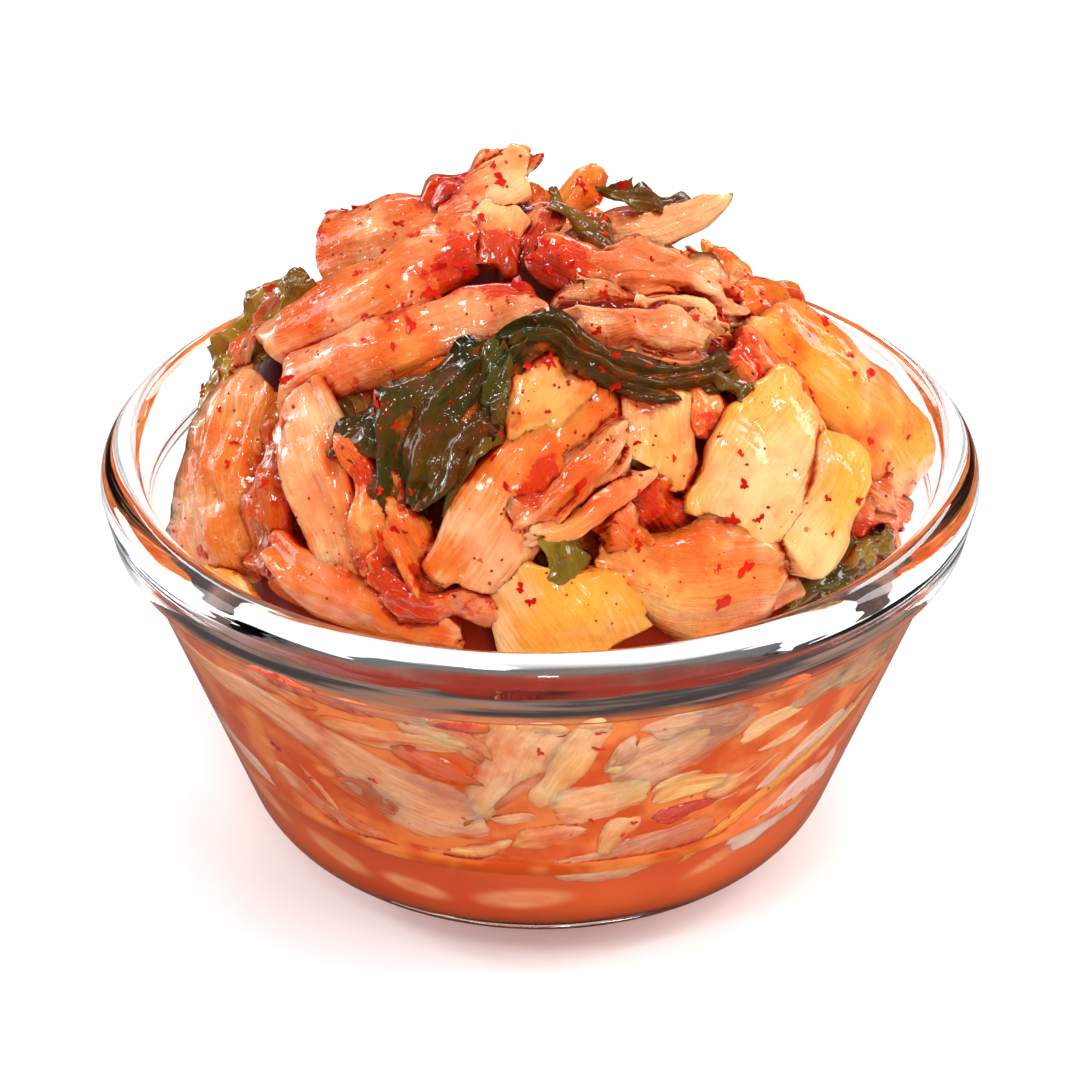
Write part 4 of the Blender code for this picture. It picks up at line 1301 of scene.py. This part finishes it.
def fibre_group():
    """Fine fibres along a piece, and the small lumps of its wet skin."""
    t, given, made = new_group(
        "cabbage_fibre", [("Fibre Depth", "Float", 0.5), ("Lump Depth", "Float", 0.5)],
        [("Height", "Float"), ("Fibre", "Float"), ("Film", "Float")])
    grain = t.add("UVMap", {}, uv_map="grain")[0]
    fibre = t.noise(t.stretched(grain, (1.1, 14.0, 1.0)), 1.6, 3, 0.55, 0.4)
    place = t.place()
    lumps = t.noise(place, 700, 4, 0.6)
    film = t.plus(t.noise(place, 300, 2, 0.4), t.times(fibre, 0.1))
    film = t.plus(film, t.ranged(t.noise(place, 1150, 1), 0.6, 0.8, 0.0, 0.5))
    height = t.plus(t.times(fibre, given["Fibre Depth"]), t.times(lumps, given["Lump Depth"]))
    t.fill(made, {"Height": height, "Fibre": fibre, "Film": film})
    return t.tree


SAUCED_FLESH = sauced_flesh_group()
FIBRE = fibre_group()


def new_material(name):
    material = bpy.data.materials.new(name)
    material.use_nodes = True
    return material, Nodes(material.node_tree), material.node_tree.nodes["Principled BSDF"]


def cabbage_material(name, body, body_depth, fibre, lumps, bump):
    material, t, shader = new_material(name)
    grain = t.group(FIBRE, {"Fibre Depth": fibre, "Lump Depth": lumps})
    look = t.group(SAUCED_FLESH, {"Flesh": t.attribute("flesh", "Color"), "Sauce": t.attribute("sauce"),
                   "Fibre": grain["Fibre"], "Closed": t.attribute("closed")})
    t.fill(shader, {
        "Base Color": look["Colour"], "Roughness": t.ranged(look["Film"], 0.0, 1.0, 0.36, 0.2),
        "Coat Weight": t.ranged(look["Film"], 0.0, 1.0, 0.75, 1.0), "Coat Roughness": 0.05,
        "Normal": t.bump(grain["Height"], bump), "Coat Normal": t.bump(grain["Film"], 0.55),
        "IOR": 1.4, "Coat IOR": 1.6, "Specular IOR Level": 0.12, "Subsurface Weight": body,
        "Subsurface Scale": body_depth * MM, "Subsurface Radius": (1.0, 0.42, 0.16)})
    return material


def green_material():
    material, t, shader = new_material("wilted_green")
    grain = t.group(FIBRE, {"Fibre Depth": 0.9, "Lump Depth": 0.8})
    drift = t.ranged(t.noise(t.place(), 170, 3), 0.48, 0.62, 0.0, 0.55)
    flesh = t.mixed(drift, t.attribute("flesh", "Color"), GREEN_SHADE)
    thin = t.minus(t.times(t.attribute("sauce"), 0.6), 0.42)
    look = t.group(SAUCED_FLESH, {"Flesh": flesh, "Sauce": thin, "Fibre": grain["Fibre"], "Pale": 0.0})
    t.fill(shader, {
        "Base Color": look["Colour"], "Roughness": 0.6, "Specular IOR Level": 0.05, "Coat Weight": 1.0,
        "Coat Roughness": 0.04, "Coat IOR": 1.55, "Normal": t.bump(grain["Height"], 0.6, 0.6 * MM),
        "Coat Normal": t.bump(grain["Film"], 0.5)})
    return material


def core_material():
    """Murky packed cabbage at the glass, deep red sauce between the pieces above it, kept darker in front as
    painted shade in the gaps.
    """
    material, t, shader = new_material("packed_kimchi")
    place = t.place()
    tilt = t.stretched(place, (1.0, 1.0, 1.7), (0.5, 0.3, 0.0))
    cells = t.add("TexVoronoi", {"Vector": tilt, "Scale": 150.0, "Smoothness": 0.5},
                  feature="SMOOTH_F1")["Distance"]
    murk = t.mixed(t.ranged(t.noise(place, 130, 4), 0.38, 0.62), srgb(204, 78, 24), srgb(230, 128, 62))
    murk = t.mixed(t.ranged(cells, 0.32, 0.1, 0.0, 0.55), murk, srgb(240, 160, 96))

    # Painted shade: a dark streaked band behind the rim band, standing in for the dark it refracts
    streak = t.noise(t.stretched(place, (40.0, 40.0, 900.0)), 1.0, 3)
    dark = t.mixed(t.ranged(streak, 0.42, 0.6), srgb(52, 46, 46), srgb(128, 100, 88))
    dark = t.mixed(t.ranged(streak, 0.6, 0.7, 0.0, 0.8), dark, srgb(168, 92, 44))
    murk = t.mixed(t.attribute("film"), murk, dark)

    # Above the glass: dark red sauce in front, which is also painted shade for the gaps between the front
    # pieces, and chopped cabbage at the rear
    bare = t.ranged(t.attribute("open"), 0.0, 0.25)
    rear = t.attribute("rear")
    fine = t.noise(place, 420, 4)
    chopped = t.mixed(t.ranged(fine, 0.42, 0.6), srgb(168, 40, 6), srgb(222, 104, 34))
    sauce = t.mixed(t.times(rear, 0.85), srgb(124, 26, 4), chopped)
    t.fill(shader, {
        "Base Color": t.mixed(bare, murk, sauce), "Roughness": 0.6, "Specular IOR Level": 0.08,
        "Coat Weight": t.times(bare, rear), "Coat Roughness": 0.08, "Coat IOR": 1.5,
        "Coat Normal": t.bump(fine, 0.8, 1 * MM)})
    return material


def brine_material():
    material, t, shader = new_material("spiced_brine")
    liquid = t.mixed(t.attribute("murk"), srgb(206, 66, 16), srgb(230, 106, 34))
    t.fill(shader, {
        "Base Color": t.mixed(t.times(t.attribute("pale"), 0.8), liquid, srgb(246, 178, 116)),
        "Roughness": 0.2, "Specular IOR Level": 0.2, "Subsurface Weight": 0.3,
        "Subsurface Scale": 3 * MM, "Subsurface Radius": (1.0, 0.25, 0.06)})
    return material


def chilli_material(name, colour):
    material, t, shader = new_material(name)
    drift = t.ranged(t.noise(t.place(), 400, 2), 0.35, 0.65)
    t.fill(shader, {"Base Color": t.mixed(drift, colour, srgb(206, 30, 2)), "Roughness": 0.5,
           "Specular IOR Level": 0.08, "Coat Weight": 0.5, "Coat Roughness": 0.08, "Coat IOR": 1.4})
    return material


def glass_material():
    """Clear glass that lets the lamps' light through to what it holds."""
    material, t, shader = new_material("clear_glass")
    streak = t.noise(t.stretched(t.place(), (14.0, 14.0, 520.0)), 1.0, 2)
    t.fill(shader, {"Base Color": (0.985, 0.99, 0.99, 1), "Roughness": 0.0, "IOR": 1.5,
           "Transmission Weight": 1.0, "Normal": t.bump(streak, 0.2, 0.6 * MM)})
    clear = t.add("BsdfTransparent", {"Color": (0.96, 0.97, 0.97, 1)})[0]
    t.surface(t.add("LightPath", {})["Is Shadow Ray"], shader.outputs[0], clear)
    return material


def dress(piece, material, node=None):
    piece.data.materials.clear()
    piece.data.materials.append(material)
    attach(piece, "root")
    if node:
        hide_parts(node)


STEM = cabbage_material("cabbage_stem", body=0.4, body_depth=2.4, fibre=0.7, lumps=0.8, bump=0.6)
LEAF = cabbage_material("cabbage_leaf", body=0.35, body_depth=1.4, fibre=0.8, lumps=1.0, bump=0.8)
THIN_KINDS = {"green_leaf": green_material(), "cabbage_leaves": LEAF}
for kind, piece in KINDS.items():
    dress(piece, THIN_KINDS.get(kind, STEM))
dress(core, core_material(), "kimchi_heap")
dress(brine, brine_material(), "brine")
dress(bowl, glass_material(), "glass_bowl")
dress(flakes, chilli_material("chilli_flake", srgb(172, 6, 0)))
dress(specks, chilli_material("chilli_speck", srgb(130, 14, 2)))


# ---------------------------------------------------------------- stage, lights and camera

DIM_FLOOR_EDGE = (-0.112, -0.098)      # where the dim floor seen through the glass ends, along y
LIT_POINT = Vector((0, 0, 0.05))
SENSOR_WIDTH = 36                      # mm
LENS_LENGTH = 115.9                    # mm
CAMERA_PLACE = (0, -0.3841, 0.2595)
CAMERA_DROP = 29.97                    # degrees that it looks down


def make_stage():
    """A pale floor that mirrors and refracts as a dim one in front, so that the rim draws dark."""
    clear_selection()
    bpy.ops.mesh.primitive_plane_add(size=6)
    floor = bpy.context.object
    floor.name = "floor"
    material, t, shader = new_material("pale_floor")
    t.fill(shader, {"Base Color": (0.93, 0.93, 0.93, 1), "Roughness": 0.7, "Specular IOR Level": 0.1})
    dim = t.add("BsdfDiffuse", {"Color": (0.13, 0.125, 0.12, 1)})[0]
    ahead = t.add("SeparateXYZ", {0: t.place()})[1]
    front = t.ranged(ahead, *DIM_FLOOR_EDGE, 1.0, 0.0)
    bent = t.times(t.add("LightPath", {})["Is Transmission Ray"], front)
    t.surface(t.calc("MAXIMUM", t.mirrored_ray(), bent), shader.outputs[0], dim)
    floor.data.materials.append(material)


def softbox(name, place, size, power, colour=(1, 1, 1), mirrored=True, lights=True):
    lamp = bpy.data.lights.new(name, "AREA")
    lamp.shape = "RECTANGLE"
    lamp.size, lamp.size_y = size
    lamp.energy = power
    lamp.color = colour
    holder = put_in_scene(name, lamp)
    holder.location = place
    holder.rotation_euler = (LIT_POINT - Vector(place)).to_track_quat("-Z", "Y").to_euler()
    holder.visible_glossy = mirrored
    holder.visible_diffuse = lights


def make_world():
    """White to the camera; soft overhead light on matt surfaces; dim in reflections."""
    world = bpy.data.worlds.new("studio")
    bpy.context.scene.world = world
    world.use_nodes = True
    t = Nodes(world.node_tree)
    ray = t.add("LightPath", {})
    direction = t.add("SeparateXYZ", {0: t.add("TexCoord", {})["Generated"]})
    strength = t.times(ray["Is Camera Ray"], 1.0)
    for share, level in ((ray["Is Diffuse Ray"], t.ranged(direction[2], 0.0, 0.8, 0.42, 0.26)),
                         (t.mirrored_ray(), t.ranged(direction[2], 0.1, 0.9, 0.03, 0.16)),
                         (ray["Is Transmission Ray"], t.ranged(direction[1], -0.3, 0.1, 0.2, 1.0))):
        strength = t.calc("MAXIMUM", strength, t.times(share, level))
    t.fill(world.node_tree.nodes["Background"], {"Strength": strength, "Color": (1, 1, 1, 1)})


def make_camera():
    lens = bpy.data.cameras.new("camera")
    lens.sensor_width = SENSOR_WIDTH
    lens.lens = LENS_LENGTH
    lens.clip_start = 0.01
    camera = put_in_scene("camera", lens)
    camera.location = CAMERA_PLACE
    camera.rotation_euler = (radians(90 - CAMERA_DROP), 0, 0)
    bpy.context.scene.camera = camera


make_stage()
softbox("overhead", (0.14, -0.2, 0.66), (0.28, 0.28), 1.9, mirrored=False)
softbox("key", (-0.1, -0.3, 0.62), (0.08, 0.08), 0.7)
softbox("glint_right", (0.28, -0.12, 0.6), (0.05, 0.08), 0.4)
softbox("glint_left", (-0.4, 0.0, 0.5), (0.06, 0.1), 0.5)
softbox("glint_front", (0.02, -0.55, 0.42), (0.05, 0.05), 0.25)
softbox("rim_window", (-0.69, 0.375, 0.23), (0.3, 0.26), 3.2, (0.84, 0.92, 1), lights=False)
softbox("left_panel", (-0.75, 0.1, 0.35), (0.35, 0.7), 3, (0.9, 0.95, 1))
softbox("right_panel", (0.7, 0.15, 0.42), (0.22, 0.5), 2.4)
softbox("back_panel", (0.05, 0.55, 0.5), (0.5, 0.16), 2.0)
softbox("front_fill", (0.3, -0.75, 0.22), (0.2, 0.2), 3.0, mirrored=False)
make_world()
make_camera()
bpy.context.scene.view_settings.view_transform = "Standard"
